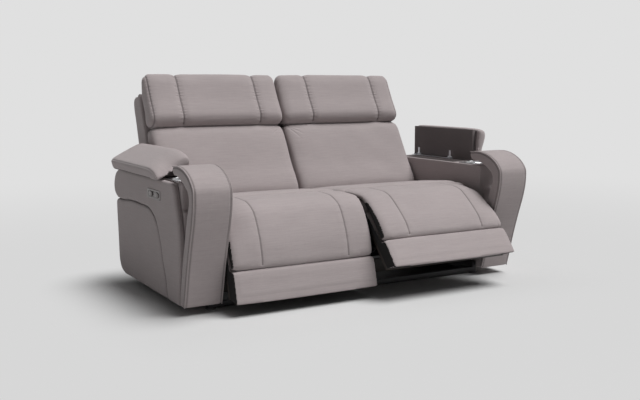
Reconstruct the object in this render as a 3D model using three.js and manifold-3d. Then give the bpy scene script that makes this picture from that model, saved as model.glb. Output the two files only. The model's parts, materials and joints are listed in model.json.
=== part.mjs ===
// Two-seat power reclining sofa with a lidded console in each arm.
// Millimetres, +Z up, the sofa faces -Y. Side-view points are (y, z) pairs.
import * as THREE from 'three';
import { mergeVertices } from 'three/addons/utils/BufferGeometryUtils.js';
import Module from 'manifold-3d';

const wasm = await Module();
wasm.setup();

// Driving dimensions: widths, from the middle of the sofa outwards
const seatGap = 12;
const seatWidth = 736;
const armClear = 8;
const armWidth = 143;
const scrollReach = 32;
const footrestClear = 7;
const touch = 0.3;
const bite = 1;
const overrun = 30;

// Driving dimensions: seat and footrest
const seatHeight = 463;
const noseRadius = 68;
const hingeY = 190;
const seatLength = 522;
const seatCrown = 10;
const padLean = 18;
const padLength = 372;
const padFace = 80;
const padCrown = 9;
const padEdge = 12;
const hugClear = 1.5;
const footBoard = 18;
const footBoardTop = 72;
const footBoardEnd = 350;
const bracketTop = 79;
const bracketEnd = 298;
const leftOpening = 0;
const rightOpening = 24;
const fullOpening = 80;

// Driving dimensions: back and headrest
const backPivotBehind = 136;
const backPivotDrop = 65;
const backLean = 22.8;
const backBoard = 24;
const backBoardHeight = 636;
const backHeight = 443;
const backDepth = 161;
const backCrown = 14;
const shellHeight = 645;
const shellDepth = 144;
const headHeight = 292;
const headDepth = 108;
const headBoard = 12;
const headCrown = 10;

// Driving dimensions: arm
const armTop = 560;
const armUnder = 38;
const armFront = 185;
const sidePad = 25;
const armBehind = 342;
const scrollFoot = 132;
const scrollEnd = 232;
const scrollTop = 634;
const lidFront = 391;
const lidBehind = 248;
const lidBoard = 18;
const lidCrown = 117;
const lidLip = 37;
const leftLid = 0;
const rightLid = 90;
const cupRadius = 43;
const cupDepth = 70;

// Driving dimensions: base
const baseFront = 200;
const baseBehind = 112;
const railWidth = 24;
const railTop = 30;
const beamTop = 58;
const footHeight = 6;
const footRadius = 24;

// Stitching and soft edges
const seamInset = 137;
const seamWidth = 9;
const seamDepth = 5;
const softEdge = 22;

// Places worked out from the driving dimensions
const radians = Math.PI / 180;
const inner = seatGap / 2;
const outer = inner + seatWidth;
const armInner = outer + armClear;
const armOuter = armInner + armWidth;
const boxOuter = armOuter - sidePad;
const scrollInner = armInner - scrollReach;
const footOuter = scrollInner - footrestClear;
const footMiddle = (inner + footOuter) / 2;
const hinge = [hingeY, seatHeight - noseRadius];
const seatUnder = seatHeight - 2 * noseRadius;
const seatRear = hingeY + seatLength;
const backPivot = [seatRear + backPivotBehind, hinge[1] - backPivotDrop];
const baseRear = seatRear + baseBehind;
const sideRear = seatRear + armBehind;
const lidRear = seatRear + lidBehind;

const fabric = { color: '#a3999a', roughness: 0.9, metalness: 0 };
const lining = { color: '#5a5253', roughness: 0.95, metalness: 0 };
const timber = { color: '#3a302a', roughness: 0.8, metalness: 0 };
const blackSteel = { color: '#25262a', roughness: 0.5, metalness: 0.6 };
const zinc = { color: '#b9bcc0', roughness: 0.35, metalness: 1 };
const polished = { color: '#d5d6d8', roughness: 0.15, metalness: 1 };
const plastic = { color: '#2b2b2d', roughness: 0.6, metalness: 0 };

const sofa = new THREE.Group();

// Boolean joins and cuts
function toSolid(geometry) {
  const bare = geometry.clone();
  bare.deleteAttribute('normal');
  bare.deleteAttribute('uv');
  const merged = mergeVertices(bare);
  return new wasm.Manifold(new wasm.Mesh({
    numProp: 3,
    vertProperties: new Float32Array(merged.attributes.position.array),
    triVerts: new Uint32Array(merged.index.array),
  }));
}

function toGeometry(solid) {
  const mesh = solid.getMesh();
  const geometry = new THREE.BufferGeometry();
  geometry.setAttribute('position', new THREE.BufferAttribute(mesh.vertProperties, 3));
  geometry.setIndex(new THREE.BufferAttribute(mesh.triVerts, 1));
  return geometry;
}

const join = (...parts) => toGeometry(parts.map(toSolid).reduce((all, part) => all.add(part)));
const cut = (body, ...tools) => toGeometry(
  tools.map(toSolid).reduce((left, tool) => left.subtract(tool), toSolid(body)));

// Plain shapes
const sideView = new THREE.Matrix4().makeBasis(
  new THREE.Vector3(0, 1, 0), new THREE.Vector3(0, 0, 1), new THREE.Vector3(1, 0, 0));
const frontView = new THREE.Matrix4().makeBasis(
  new THREE.Vector3(1, 0, 0), new THREE.Vector3(0, 0, 1), new THREE.Vector3(0, -1, 0));

function extrude(outline, depth) {
  const shape = new THREE.Shape(outline.map(([a, b]) => new THREE.Vector2(a, b)));
  return new THREE.ExtrudeGeometry(shape, { depth, bevelEnabled: false, steps: 1 });
}

// A side-view outline pushed across the width
const sidePlate = (outline, from, to) => (
  extrude(outline, to - from).applyMatrix4(sideView).translate(from, 0, 0));

// A front-view outline pushed along the depth
const frontPlate = (outline, from, to) => (
  extrude(outline, to - from).applyMatrix4(frontView).translate(0, to, 0));

function box(x, y, z) {
  const geometry = new THREE.BoxGeometry(x[1] - x[0], y[1] - y[0], z[1] - z[0]);
  return geometry.translate((x[0] + x[1]) / 2, (y[0] + y[1]) / 2, (z[0] + z[1]) / 2);
}

const roundSides = 16;

function rod(radius, x, [y, z], sides = roundSides) {
  const geometry = new THREE.CylinderGeometry(radius, radius, x[1] - x[0], sides);
  return geometry.rotateZ(Math.PI / 2).translate((x[0] + x[1]) / 2, y, z);
}

function post(radius, [x, y], z, sides = roundSides) {
  const geometry = new THREE.CylinderGeometry(radius, radius, z[1] - z[0], sides);
  return geometry.rotateX(Math.PI / 2).translate(x, y, (z[0] + z[1]) / 2);
}

function arc([a, b], radius, from, to, steps) {
  return Array.from({ length: steps + 1 }, (_, i) => {
    const turn = (from + (to - from) * i / steps) * radians;
    return [a + radius * Math.cos(turn), b + radius * Math.sin(turn)];
  });
}

// The outline drawn by a belt around round and sharp corners, each [point, radius]
function belt(...corners) {
  const points = corners.flatMap(([point, radius]) => (
    radius ? arc(point, radius, 0, 360, roundSides) : [point]));
  points.sort((p, q) => p[0] - q[0] || p[1] - q[1]);
  const half = list => list.reduce((hull, p) => {
    const turns = () => {
      const [q, r] = [hull[hull.length - 1], hull[hull.length - 2]];
      return (q[0] - r[0]) * (p[1] - r[1]) - (q[1] - r[1]) * (p[0] - r[0]);
    };
    while (hull.length > 1 && turns() <= 0) hull.pop();
    hull.push(p);
    return hull;
  }, []);
  return [...half(points).slice(0, -1), ...half([...points].reverse()).slice(0, -1)];
}

// A smooth line through a few points
function smooth(points, perSpan) {
  const curve = new THREE.SplineCurve(points.map(([a, b]) => new THREE.Vector2(a, b)));
  return curve.getPoints((points.length - 1) * perSpan).map(p => [p.x, p.y]);
}

// Each row of a soft outline is a point, then how far it follows the crown, the soft end
// edges and the sewn seams, from 0 to 1
const row = ([a, b], crown = 0, edge = 1, seam = 0) => [a, b, crown, edge, seam];

function rowsFrom(shares, place) {
  return shares.map(([a, b, ...follow]) => row(place(a, b), ...follow));
}

function normalsOf(rows) {
  return rows.map((point, i) => {
    const [before, after] = [rows[(i + rows.length - 1) % rows.length], rows[(i + 1) % rows.length]];
    const along = new THREE.Vector2(after[0] - before[0], after[1] - before[1]).normalize();
    return [along.y, -along.x];
  });
}

const flat = points => points.map(([a, b]) => new THREE.Vector2(a, b));

// A skin through copies of one outline, capped at both ends. Each ring says where it is
// and how much crown, edge and seam its points take.
function loft(outline, rings, place) {
  const rows = THREE.ShapeUtils.area(flat(outline)) < 0 ? [...outline].reverse() : outline;
  const normals = normalsOf(rows);
  const moved = rings.map(ring => rows.map(([a, b, crown, edge, seam], i) => {
    const push = ring.crown * crown - ring.edge * edge - ring.seam * seam;
    return [a + normals[i][0] * push, b + normals[i][1] * push];
  }));
  return skin(moved, rings.map(ring => ring.at), place);
}

// A closed skin through outlines of equally many points
function skin(outlines, places, place) {
  const clockwise = THREE.ShapeUtils.area(flat(outlines[0])) < 0;
  const moved = clockwise ? outlines.map(points => [...points].reverse()) : outlines;
  const count = moved[0].length;
  const faces = [];
  for (let r = 0; r + 1 < moved.length; r += 1) {
    for (let i = 0; i < count; i += 1) {
      const j = (i + 1) % count;
      const [a, b, c, d] = [r * count + i, r * count + j, (r + 1) * count + j, (r + 1) * count + i];
      faces.push([a, b, c], [a, c, d]);
    }
  }
  const last = (moved.length - 1) * count;
  const cap = points => THREE.ShapeUtils.triangulateShape(flat(points), []);
  cap(moved[0]).forEach(([a, b, c]) => faces.push([a, c, b]));
  cap(moved[moved.length - 1]).forEach(([a, b, c]) => faces.push([last + a, last + b, last + c]));
  const geometry = new THREE.BufferGeometry();
  const positions = moved.flatMap((points, r) => points.flatMap(([a, b]) => place(a, b, places[r])));
  geometry.setAttribute('position', new THREE.Float32BufferAttribute(positions, 3));
  geometry.setIndex(faces.flat());
  return facingOut(geometry);
}

function turnOver(geometry) {
  const index = geometry.index.array;
  for (let f = 0; f < index.length; f += 3) [index[f + 1], index[f + 2]] = [index[f + 2], index[f + 1]];
  return geometry;
}

function facingOut(geometry) {
  const [points, index] = [geometry.attributes.position, geometry.index.array];
  const corner = i => new THREE.Vector3().fromBufferAttribute(points, index[i]);
  let volume = 0;
  for (let f = 0; f < index.length; f += 3) volume += corner(f).dot(corner(f + 1).cross(corner(f + 2)));
  return volume < 0 ? turnOver(geometry) : geometry;
}

function mirrored(geometry) {
  const indexed = mergeVertices(geometry.clone().deleteAttribute('normal').deleteAttribute('uv'));
  return turnOver(indexed.scale(-1, 1, 1));
}

const acrossWidth = (a, b, at) => [at, a, b];
const alongDepth = (a, b, at) => [a, at, b];

// Rings of a cushion: round ends, a crown in the middle and a dip at each seam
const edgeTurns = [0, 35, 65, 90];

function cushionRings(from, to, { edge, crown, seams = [], between = 4 }) {
  const middle = (from + to) / 2;
  const half = (to - from) / 2;
  const rise = at => crown * (1 - ((at - middle) / half) ** 2);
  const ends = edgeTurns.flatMap(turn => {
    const inset = edge * (1 - Math.sin(turn * radians));
    const reach = edge * (1 - Math.cos(turn * radians));
    return [[from + reach, inset], [to - reach, inset]];
  });
  const steps = Array.from({ length: between - 1 }, (_, i) => from + (to - from) * (i + 1) / between);
  const clear = steps.filter(at => seams.every(seam => Math.abs(at - seam) > 2 * seamWidth));
  const dips = seams.flatMap(seam => [[seam - seamWidth, 0], [seam, seamDepth], [seam + seamWidth, 0]]);
  return [
    ...ends.map(([at, inset]) => ({ at, edge: inset, crown: rise(at), seam: 0 })),
    ...clear.map(at => ({ at, edge: 0, crown: rise(at), seam: 0 })),
    ...dips.map(([at, seam]) => ({ at, edge: 0, crown: rise(at), seam })),
  ].sort((p, q) => p.at - q.at);
}

// Rings of a padded panel: flat on its back, with a soft edge on its face
function panelRings(back, face, edge) {
  const ring = (at, inset) => ({ at, edge: inset, crown: 0, seam: 0 });
  const turns = edgeTurns.slice(0, -1).reverse().map(turn => [
    face - edge * (1 - Math.cos(turn * radians)), edge * (1 - Math.sin(turn * radians))]);
  return [ring(back, 0), ring(face - edge, 0), ...turns.map(([at, inset]) => ring(at, inset))];
}

function add(name, geometry, finish, { side = 1, group = sofa } = {}) {
  const shape = side < 0 ? mirrored(geometry) : geometry;
  const mesh = new THREE.Mesh(shape, new THREE.MeshStandardMaterial(finish));
  mesh.name = name;
  group.add(mesh);
}

// A group that turns everything in it about a point
function turned(point, axis, degrees) {
  const pivot = new THREE.Group();
  pivot.position.copy(point);
  pivot.rotation[axis] = degrees * radians;
  const carried = new THREE.Group();
  carried.position.copy(point).negate();
  pivot.add(carried);
  sofa.add(pivot);
  return carried;
}

function shifted(y, z) {
  const carried = new THREE.Group();
  carried.position.set(0, y, z);
  sofa.add(carried);
  return carried;
}

// Seat, footrest and their linkage, in side view
const lean = padLean * radians;
const padPoint = (d, n) => [
  hinge[0] - Math.sin(lean) * d - Math.cos(lean) * n,
  hinge[1] - Math.cos(lean) * d + Math.sin(lean) * n];
const tubeBehind = 190;
const tubeBelow = 110;
const tubeAxis = [hinge[0] + tubeBehind, hinge[1] - tubeBelow];
const tubeRadius = 11;
const journalRadius = 8;
const pinRadius = 5;
const eyeRadius = 11;
const crankHub = 22;
const pinClear = 0.45;
const footPinDrop = 180;
const footPinDepth = 40;
const footPin = padPoint(footPinDrop, -footPinDepth);
const crank = [footPin[0] - hinge[0], footPin[1] - hinge[1]];
const crankPin = [tubeAxis[0] + crank[0], tubeAxis[1] + crank[1]];
const plateThick = 6;
const plateGap = 2;
const earIn = 62;
const bracketIn = earIn + plateThick + plateGap;
const linkIn = bracketIn + plateThick + plateGap;
const crankIn = linkIn + plateThick + plateGap;
const slotClear = 3;
const slotBehind = 110;
const plateAt = start => [
  [inner + start, inner + start + plateThick],
  [footOuter - start - plateThick, footOuter - start]];
const seatRail = 24;
const railOuter = armInner - touch;
const deckThick = 20;
const deckEdge = 12;
const deckRear = seatRear - deckEdge;
const deckTop = seatUnder - touch;
const yokeArm = 100;
const yokeTurn = fullOpening / 2;
const yokeStroke = 2 * yokeArm * Math.sin(yokeTurn * radians);
const yokeWidth = 20;
const yokeSlot = 18;
const yokeWall = 10;
const slideTop = 60;
const slideRail = [30, 20];
const motorLength = 120;
const motorRadius = 34;
const gearboxLong = 72;
const shoeHigh = 32;
const farSide = ([a, b]) => [Math.min(a, b), Math.max(a, b)];

// Behind the nose: how far back and how far down, as shares of the length and thickness
const seatShares = [
  [0.979, 1, 0, 0.3], [1, 0.919, 0, 0.5], [1, 0.441], [0.986, 0.32, 0.3], [0.937, 0.261, 0.6],
  [0.75, 0.154, 1], [0.5, 0.056, 1], [0.303, 0.012, 1], [0.268, 0.037, 0.8], [0.234, 0, 0.8, 1, 1],
  [0.09, 0, 0.3, 0.8, 1],
];

function seatOutline() {
  const nose = arc(hinge, noseRadius, 90, 270, 12).map((point, i) => row(point, 0, 0.5, i < 6 ? 1 : 0));
  const rest = rowsFrom(seatShares, (back, down) => [
    hingeY + back * seatLength, seatHeight - down * 2 * noseRadius]);
  return [...nose, ...rest];
}

const padShares = [
  [0.945, 0.235, 0, 0.6], [0.985, 0.4, 0, 0.8], [1, 0.62], [0.99, 0.85, 0.5], [0.945, 0.98, 1],
  [0.78, 1.03, 1], [0.65, 1.03, 1], [0.624, 0.97, 1], [0.598, 1.03, 1, 1, 1], [0.45, 1.02, 1, 1, 1],
  [0.3, 1, 0.8, 1, 1], [0.16, 0.98, 0.3, 0.5, 1], [0.03, 0.92, 0, 0.2, 0],
];

function padOutline() {
  const hug = noseRadius + hugClear;
  const boardFace = footBoard + touch;
  const start = Math.acos(padShares[padShares.length - 1][0] * padLength / hug) / radians;
  const end = Math.asin(boardFace / hug) / radians;
  const concave = arc([0, 0], hug, start, end, 5).map(([d, n]) => row(padPoint(d, n), 0, 0.2));
  const face = rowsFrom(padShares, (d, n) => padPoint(d * padLength, n * padFace));
  face[0] = row(padPoint(padShares[0][0] * padLength, boardFace), 0, 0.2);
  return [...concave, ...face];
}

const cornerRear = 248;

const slotCut = ([from, to]) => box(
  [from - slotClear, to + slotClear], [hingeY - noseRadius - overrun, hingeY + slotBehind],
  [seatUnder - overrun, hinge[1] + eyeRadius + slotClear]);

function seatCushion() {
  const seams = [inner + seamInset, footOuter - seamInset];
  const body = loft(seatOutline(), cushionRings(inner, outer, { edge: softEdge, crown: seatCrown, seams }),
    acrossWidth);
  const earSlots = plateAt(earIn).map(([a, b], i) => (
    i ? [a - plateThick - plateGap, b] : [a, b + plateThick + plateGap]));
  const corner = box([footOuter, outer + overrun], [0, cornerRear], [0, 2 * seatHeight]);
  return cut(body, corner, ...earSlots.map(slotCut));
}

// The plywood footrest board and its two steel brackets up to the hinge
function footrestBoard() {
  const board = [[footBoardTop, 0], [footBoardEnd, 0], [footBoardEnd, footBoard], [footBoardTop, footBoard]];
  const wood = sidePlate(board.map(([d, n]) => padPoint(d, n)),
    inner + footrestClear, footOuter - footrestClear / 2);
  const [upper, lower] = [bracketTop, bracketEnd].map(d => padPoint(d, bite));
  const outlines = [
    belt([hinge, eyeRadius], [footPin, eyeRadius], [upper]),
    belt([footPin, eyeRadius], [upper], [lower])];
  const plates = plateAt(bracketIn).flatMap(span => outlines.map(outline => sidePlate(outline, ...span)));
  const eyes = plateAt(bracketIn).map(([a, b]) => rod(pinRadius + pinClear, [a - bite, b + bite], hinge));
  const pins = plateAt(bracketIn).map(([a, b], i) => (i
    ? rod(pinRadius, [a - plateGap - plateThick, a + bite], footPin)
    : rod(pinRadius, [b - bite, b + plateGap + plateThick], footPin)));
  return cut(join(wood, ...plates, ...pins), ...eyes);
}

const linkOutline = belt([crankPin, eyeRadius], [footPin, eyeRadius]);

function footrestLink([a, b]) {
  const holes = [crankPin, footPin].map(pin => rod(pinRadius + pinClear, [a - bite, b + bite], pin));
  return cut(sidePlate(linkOutline, a, b), ...holes);
}

// Where the drive's yoke pin hangs at a given opening
const yokePin = opening => {
  const turn = (yokeTurn - opening) * radians;
  return [tubeAxis[0] + yokeArm * Math.sin(turn), tubeAxis[1] - yokeArm * Math.cos(turn)];
};

function driveTube() {
  const ends = [inner + seatRail, railOuter - seatRail];
  const tube = rod(tubeRadius, [ends[0] + plateGap, ends[1] - plateGap], tubeAxis);
  const journals = rod(journalRadius, [inner + touch, railOuter - touch], tubeAxis);
  const cranks = plateAt(crankIn).map(([a, b]) => (
    sidePlate(belt([tubeAxis, crankHub], [crankPin, eyeRadius]), a, b)));
  const crankPins = plateAt(crankIn).map(([a, b], i) => (i
    ? rod(pinRadius, [b - bite, b + plateGap + plateThick], crankPin)
    : rod(pinRadius, [a - plateGap - plateThick, a + bite], crankPin)));
  const rest = yokePin(0);
  const yokes = [-1, 1].map(way => {
    const near = footMiddle + way * (yokeWidth / 2 + plateGap);
    return sidePlate(belt([tubeAxis, crankHub], [rest, eyeRadius]),
      ...farSide([near, near + way * plateThick]));
  });
  const yokeBar = rod(pinRadius, [footMiddle - yokeWidth, footMiddle + yokeWidth], rest);
  return join(tube, journals, ...cranks, ...crankPins, ...yokes, yokeBar);
}

const slideBottom = tubeAxis[1] - yokeArm - slideTop;

function slideBlock() {
  const [y, z] = [yokePin(0)[0], tubeAxis[1] - yokeArm];
  const half = yokeSlot / 2 + yokeWall;
  const block = box([footMiddle - yokeWidth / 2, footMiddle + yokeWidth / 2], [y - half, y + half],
    [slideBottom + slideRail[1] + touch, z + slideTop / 2]);
  const slot = box([footMiddle - yokeWidth, footMiddle + yokeWidth], [y - yokeSlot / 2, y + yokeSlot / 2],
    [z - 2 * pinRadius, z + slideTop]);
  const shoe = box([footMiddle - slideRail[0], footMiddle + slideRail[0]], [y - half, y + half],
    [slideBottom, slideBottom + shoeHigh]);
  const rail = box([footMiddle - slideRail[0] / 2 - touch, footMiddle + slideRail[0] / 2 + touch],
    [y - 2 * half, y + 2 * half], [slideBottom - overrun, slideBottom + slideRail[1] + touch]);
  return cut(join(block, shoe), slot, rail);
}

// Timber seat box: side boards on the base, a slatted deck and the footrest hinge ears
const slatCount = 6;
const slatWidth = 50;
const pivotBoss = 25;
const pivotRadius = 8;
const seatRailFront = 240;
const crossRailBottom = beamTop + touch;
const crossRailTop = slideBottom - touch;
const crossRailAhead = 72;
const crossRailRear = seatRear - crossRailAhead;
const rearPanel = 6;
const rearPanelTop = 300;

function seatFrame() {
  const railSpan = [[inner, inner + seatRail], [railOuter - seatRail, railOuter]];
  const foot = [seatRailFront, crossRailBottom];
  const heel = [baseRear - 2 * railWidth, crossRailBottom];
  const side = ([a, b]) => join(
    sidePlate([foot, heel, [heel[0], deckTop], [seatRailFront, deckTop]], a, b),
    sidePlate(belt([backPivot, pivotBoss], [heel], [[seatRear + plateGap, deckTop]]), a, b));
  const across = [inner + seatRail - bite, railOuter - seatRail + bite];
  const strips = [[seatRailFront, hingeY + slotBehind], [crossRailRear, deckRear]];
  const deck = strips.map(y => box(across, y, [deckTop - deckThick, deckTop]));
  const pitch = (across[1] - across[0] - slatWidth) / (slatCount - 1);
  const slats = Array.from({ length: slatCount }, (_, i) => box(
    [across[0] + i * pitch, across[0] + i * pitch + slatWidth],
    [seatRailFront, deckRear], [deckTop - deckThick, deckTop]));
  const crossRails = [seatRailFront, crossRailRear].map(y => box(
    across, [y, y + seatRail], [crossRailBottom, crossRailTop]));
  const rear = box(across, [heel[0] - rearPanel, heel[0]], [crossRailBottom, rearPanelTop]);
  const earFoot = hingeY + slotBehind;
  const earOutline = belt(
    [hinge, eyeRadius], [[seatRailFront, deckTop - deckThick]],
    [[earFoot, deckTop - deckThick]], [[earFoot, deckTop]]);
  const ears = plateAt(earIn).map(([a, b]) => sidePlate(earOutline, a, b));
  const earPins = plateAt(earIn).map(([a, b], i) => (i
    ? rod(pinRadius, [a - plateGap - plateThick, a + bite], hinge)
    : rod(pinRadius, [b - bite, b + plateGap + plateThick], hinge)));
  const holes = railSpan.flatMap(([a, b]) => [
    rod(journalRadius + pinClear, [a - overrun, b + overrun], tubeAxis),
    rod(pivotRadius + pinClear, [a - overrun, b + overrun], backPivot)]);
  return cut(join(...railSpan.map(side), ...deck, ...slats, ...crossRails, rear, ...ears, ...earPins),
    ...holes);
}

// Motor and slide rail, carried on the two cross rails
function footrestMotor() {
  const half = slideRail[0] / 2;
  const railZ = [slideBottom, slideBottom + slideRail[1]];
  const rail = box([footMiddle - half, footMiddle + half], [seatRailFront, crossRailRear - seatRail], railZ);
  const can = new THREE.CylinderGeometry(motorRadius, motorRadius, motorLength, roundSides);
  can.translate(footMiddle, crossRailRear - bite + motorLength / 2, slideBottom + motorRadius);
  const gearbox = box([footMiddle - motorRadius, footMiddle + motorRadius],
    [crossRailRear - gearboxLong, crossRailRear], [slideBottom, slideBottom + 2 * motorRadius]);
  return join(rail, gearbox, can);
}

// Back and headrest. A point is up the board from the pivot, then forward of the board.
const tilt = backLean * radians;
const backPoint = (up, ahead) => [
  backPivot[0] + Math.sin(tilt) * up - Math.cos(tilt) * ahead,
  backPivot[1] + Math.cos(tilt) * up + Math.sin(tilt) * ahead];
const boardFace = backBoard / 2;
const backEdge = 26;
const headBaseBelow = 219;
const headBase = backBoardHeight - headBaseBelow;
const headRear = 31;
const headPivotShares = [0.085, 0.689];
const headPivotAt = [headBase + headPivotShares[0] * headHeight, headRear + headPivotShares[1] * headDepth];
const headPivot = backPoint(...headPivotAt);
const headEarIn = 130;
const headPlates = start => [
  [inner + start, inner + start + plateThick],
  [outer - start - plateThick, outer - start]];
const headLugIn = headEarIn + plateThick + plateGap;
const headEyeRadius = 10;
const headEarRise = 19;
const headEarLong = 24;
const headEarSpan = [headBase + headEarRise, headBase + headEarRise + headEarLong];
const headBoardRise = 53;
const headBoardLong = 172;
const headBoardSpan = [headBase + headBoardRise, headBase + headBoardRise + headBoardLong];
const backBoardNeck = 60;
const backShares = [
  [0.062, 0.08, 0, 0], [-0.045, 0.794, 0, 0.5], [0.03, 0.924, 0.2], [0.117, 1, 0.6], [0.25, 0.965, 1],
  [0.375, 0.894, 1], [0.52, 0.84, 1], [0.666, 0.789, 1], [0.8, 0.735, 0.9], [0.867, 0.7, 0.6],
  [0.914, 0.66, 0.2, 1], [0.95, 0.547, 0, 1], [0.966, 0.31, 0, 0.6], [0.966, 0.08, 0, 0],
];

function backCushion() {
  const outline = rowsFrom(backShares, (up, ahead) => backPoint(
    up * backHeight, ahead < 0.1 ? boardFace + touch : ahead * backDepth));
  return loft(outline, cushionRings(inner, outer, { edge: backEdge, crown: backCrown, between: 6 }),
    acrossWidth);
}

const shellShares = [
  [0.037, 0.08, 0, 0], [0.974, 0.08, 0, 0], [0.992, 0.15, 0, 0.5], [1, 0.42, 0, 1], [0.989, 0.53, 0, 1],
  [0.964, 0.6, 0.6, 1], [0.8, 0.68, 1, 1], [0.63, 0.75, 1, 1], [0.31, 0.91, 1, 1], [0.11, 1, 0.6, 1],
  [0.08, 0.96, 0, 1], [0.056, 0.69, 0, 0.8],
];

function backShell() {
  const outline = rowsFrom(shellShares, (up, behind) => backPoint(
    up * shellHeight, behind < 0.1 ? -boardFace - touch : -behind * shellDepth));
  return loft(outline, cushionRings(inner, outer, { edge: backEdge / 2, crown: backCrown / 2 }), acrossWidth);
}

// The timber back board, its pivot pins and the ears that carry the headrest
function backFrame() {
  const slab = (bottom, top) => [
    backPoint(bottom, -boardFace), backPoint(top, -boardFace), backPoint(top, boardFace),
    backPoint(bottom, boardFace)];
  const low = sidePlate(slab(-pivotBoss / 2, backBoardNeck + bite), inner + seatRail + plateGap,
    railOuter - seatRail - plateGap);
  const high = sidePlate(slab(backBoardNeck, backBoardHeight), inner + plateGap, outer - plateGap);
  const pins = rod(pivotRadius, [inner + touch, railOuter - touch], backPivot);
  const outline = belt([headPivot, headEyeRadius],
    ...headEarSpan.map(up => [backPoint(up, boardFace - bite)]));
  const ears = headPlates(headEarIn).map(([a, b]) => sidePlate(outline, a, b));
  const earPins = headPlates(headEarIn).map(([a, b], i) => (i
    ? rod(pinRadius, [a - plateGap - plateThick, a + bite], headPivot)
    : rod(pinRadius, [b - bite, b + plateGap + plateThick], headPivot)));
  return join(low, high, pins, ...ears, ...earPins);
}

const headShares = [
  [0.08, 0, 0, 0], [0.033, 0.59, 0, 0.5], [0.047, 0.8, 0, 0.8], [0.072, 0.93, 0.3, 1],
  [0.12, 0.99, 0.7, 1, 1], [0.27, 0.971, 1, 1, 1], [0.462, 0.887, 1, 1, 1], [0.68, 0.833, 1, 1, 1],
  [0.887, 0.787, 0.8, 1, 1], [0.952, 0.74, 0.5, 1, 1], [0.999, 0.593, 0.2, 1, 1], [0.969, 0.37, 0, 1],
  [0.84, 0.18, 0, 1], [0.678, 0, 0, 0.5], [0.34, 0, 0, 0.5],
];

function headrestPad() {
  const place = (up, ahead) => backPoint(headBase + up * headHeight, headRear + ahead * headDepth);
  const seams = [inner + seamInset, outer - seamInset];
  const rings = cushionRings(inner, outer, { edge: softEdge, crown: headCrown, seams, between: 6 });
  const body = loft(rowsFrom(headShares, place), rings, acrossWidth);
  const [up, ahead] = headPivotAt;
  const slot = [
    [up - overrun, headRear - overrun], [up - overrun, ahead + eyeRadius + slotClear],
    [up + eyeRadius + slotClear, ahead + eyeRadius + slotClear],
    [headBoardSpan[0] + overrun + slotClear, headRear + headDepth / 4],
    [headBoardSpan[0] + overrun + slotClear, headRear - overrun]].map(([s, t]) => backPoint(s, t));
  const slotX = headPlates(headEarIn).map(([a, b], i) => (i
    ? [a - plateGap - plateThick - slotClear, b + slotClear]
    : [a - slotClear, b + plateGap + plateThick + slotClear]));
  return cut(body, ...slotX.map(([a, b]) => sidePlate(slot, a, b)));
}

// The headrest's board with the two lugs that turn on the back's pins
function headrestFrame() {
  const [bottom, top] = headBoardSpan;
  const [behind, ahead] = [headRear - touch - headBoard, headRear - touch];
  const slab = [backPoint(bottom, behind), backPoint(top, behind), backPoint(top, ahead),
    backPoint(bottom, ahead)];
  const board = sidePlate(slab, inner + 2 * backEdge, outer - 2 * backEdge);
  const outline = belt([headPivot, headEyeRadius], [backPoint(bottom, behind)],
    [backPoint(bottom + overrun, behind)],
    [backPoint(bottom + overrun, ahead)]);
  const lugs = headPlates(headLugIn).map(([a, b]) => sidePlate(outline, a, b));
  const eyes = headPlates(headLugIn).map(([a, b]) => (
    rod(pinRadius + pinClear, [a - bite, b + bite], headPivot)));
  return cut(join(board, ...lugs), ...eyes);
}

// Arms, in side view as shares of the arm's depth and height
const armPoint = (a, b) => [a * sideRear, b * armTop];
const sideGroove = 3;
const seamLineShares = [
  [0.953, 0.734], [0.88, 0.733], [0.767, 0.75], [0.627, 0.75], [0.495, 0.73], [0.423, 0.652], [0.38, 0.52],
  [0.349, 0.352], [0.318, 0.21], [0.3, 0.068],
];
const seamLine = smooth(seamLineShares.map(([a, b]) => armPoint(a, b)), 2);
const bandShares = [
  [0.169, 0.068], [0.171, 0.768], [0.19, 0.86], [0.203, 0.945], [0.216, 0.993], [0.24, 1], [0.882, 1],
  [0.935, 0.988], [0.972, 0.95], [0.992, 0.895], [0.999, 0.84], [0.99, 0.775],
];
const panelShares = [[0.976, 0.705], [0.963, 0.357], [0.948, 0.148], [0.93, 0.105], [0.9, 0.08],
  [0.8, 0.068]];
const boxShares = [[0.8, 0.068], [0.9, 0.09], [0.938, 0.155], [0.956, 0.357], [0.966, 0.705], [0.977, 0.8],
  [0.977, 0.89], [0.945, 0.97], [0.878, 1]];
const sideEdge = 8;
const boxEdge = 14;
const boxWall = 15;
const frontPanelStep = 104;
const storeFront = 425;
const storeSetback = 55;
const storeRear = lidRear - storeSetback;
const storeFloor = 330;
const cupWall = 1.5;
const plateThin = 3;
const cupInset = 67;
const cupRim = 4.5;
const cupPlateDepth = [238, 382];
const cupAt = [armInner + cupInset, 311];

function armBand() {
  const rows = [...bandShares.map(([a, b]) => armPoint(a, b)), ...seamLine].map(point => row(point));
  return loft(rows, panelRings(boxOuter + touch, armOuter, sideEdge), acrossWidth);
}

function armSidePanel() {
  const seam = seamLine.map(([y, z], i) => [y + sideGroove, i < seamLine.length - 1 ? z - sideGroove : z]);
  const edge = [...panelShares].reverse().map(([a, b]) => armPoint(a, b));
  const rows = [...seam, ...edge].map(point => row(point));
  return loft(rows, panelRings(boxOuter + touch, armOuter - sideGroove, sideEdge), acrossWidth);
}

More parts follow.
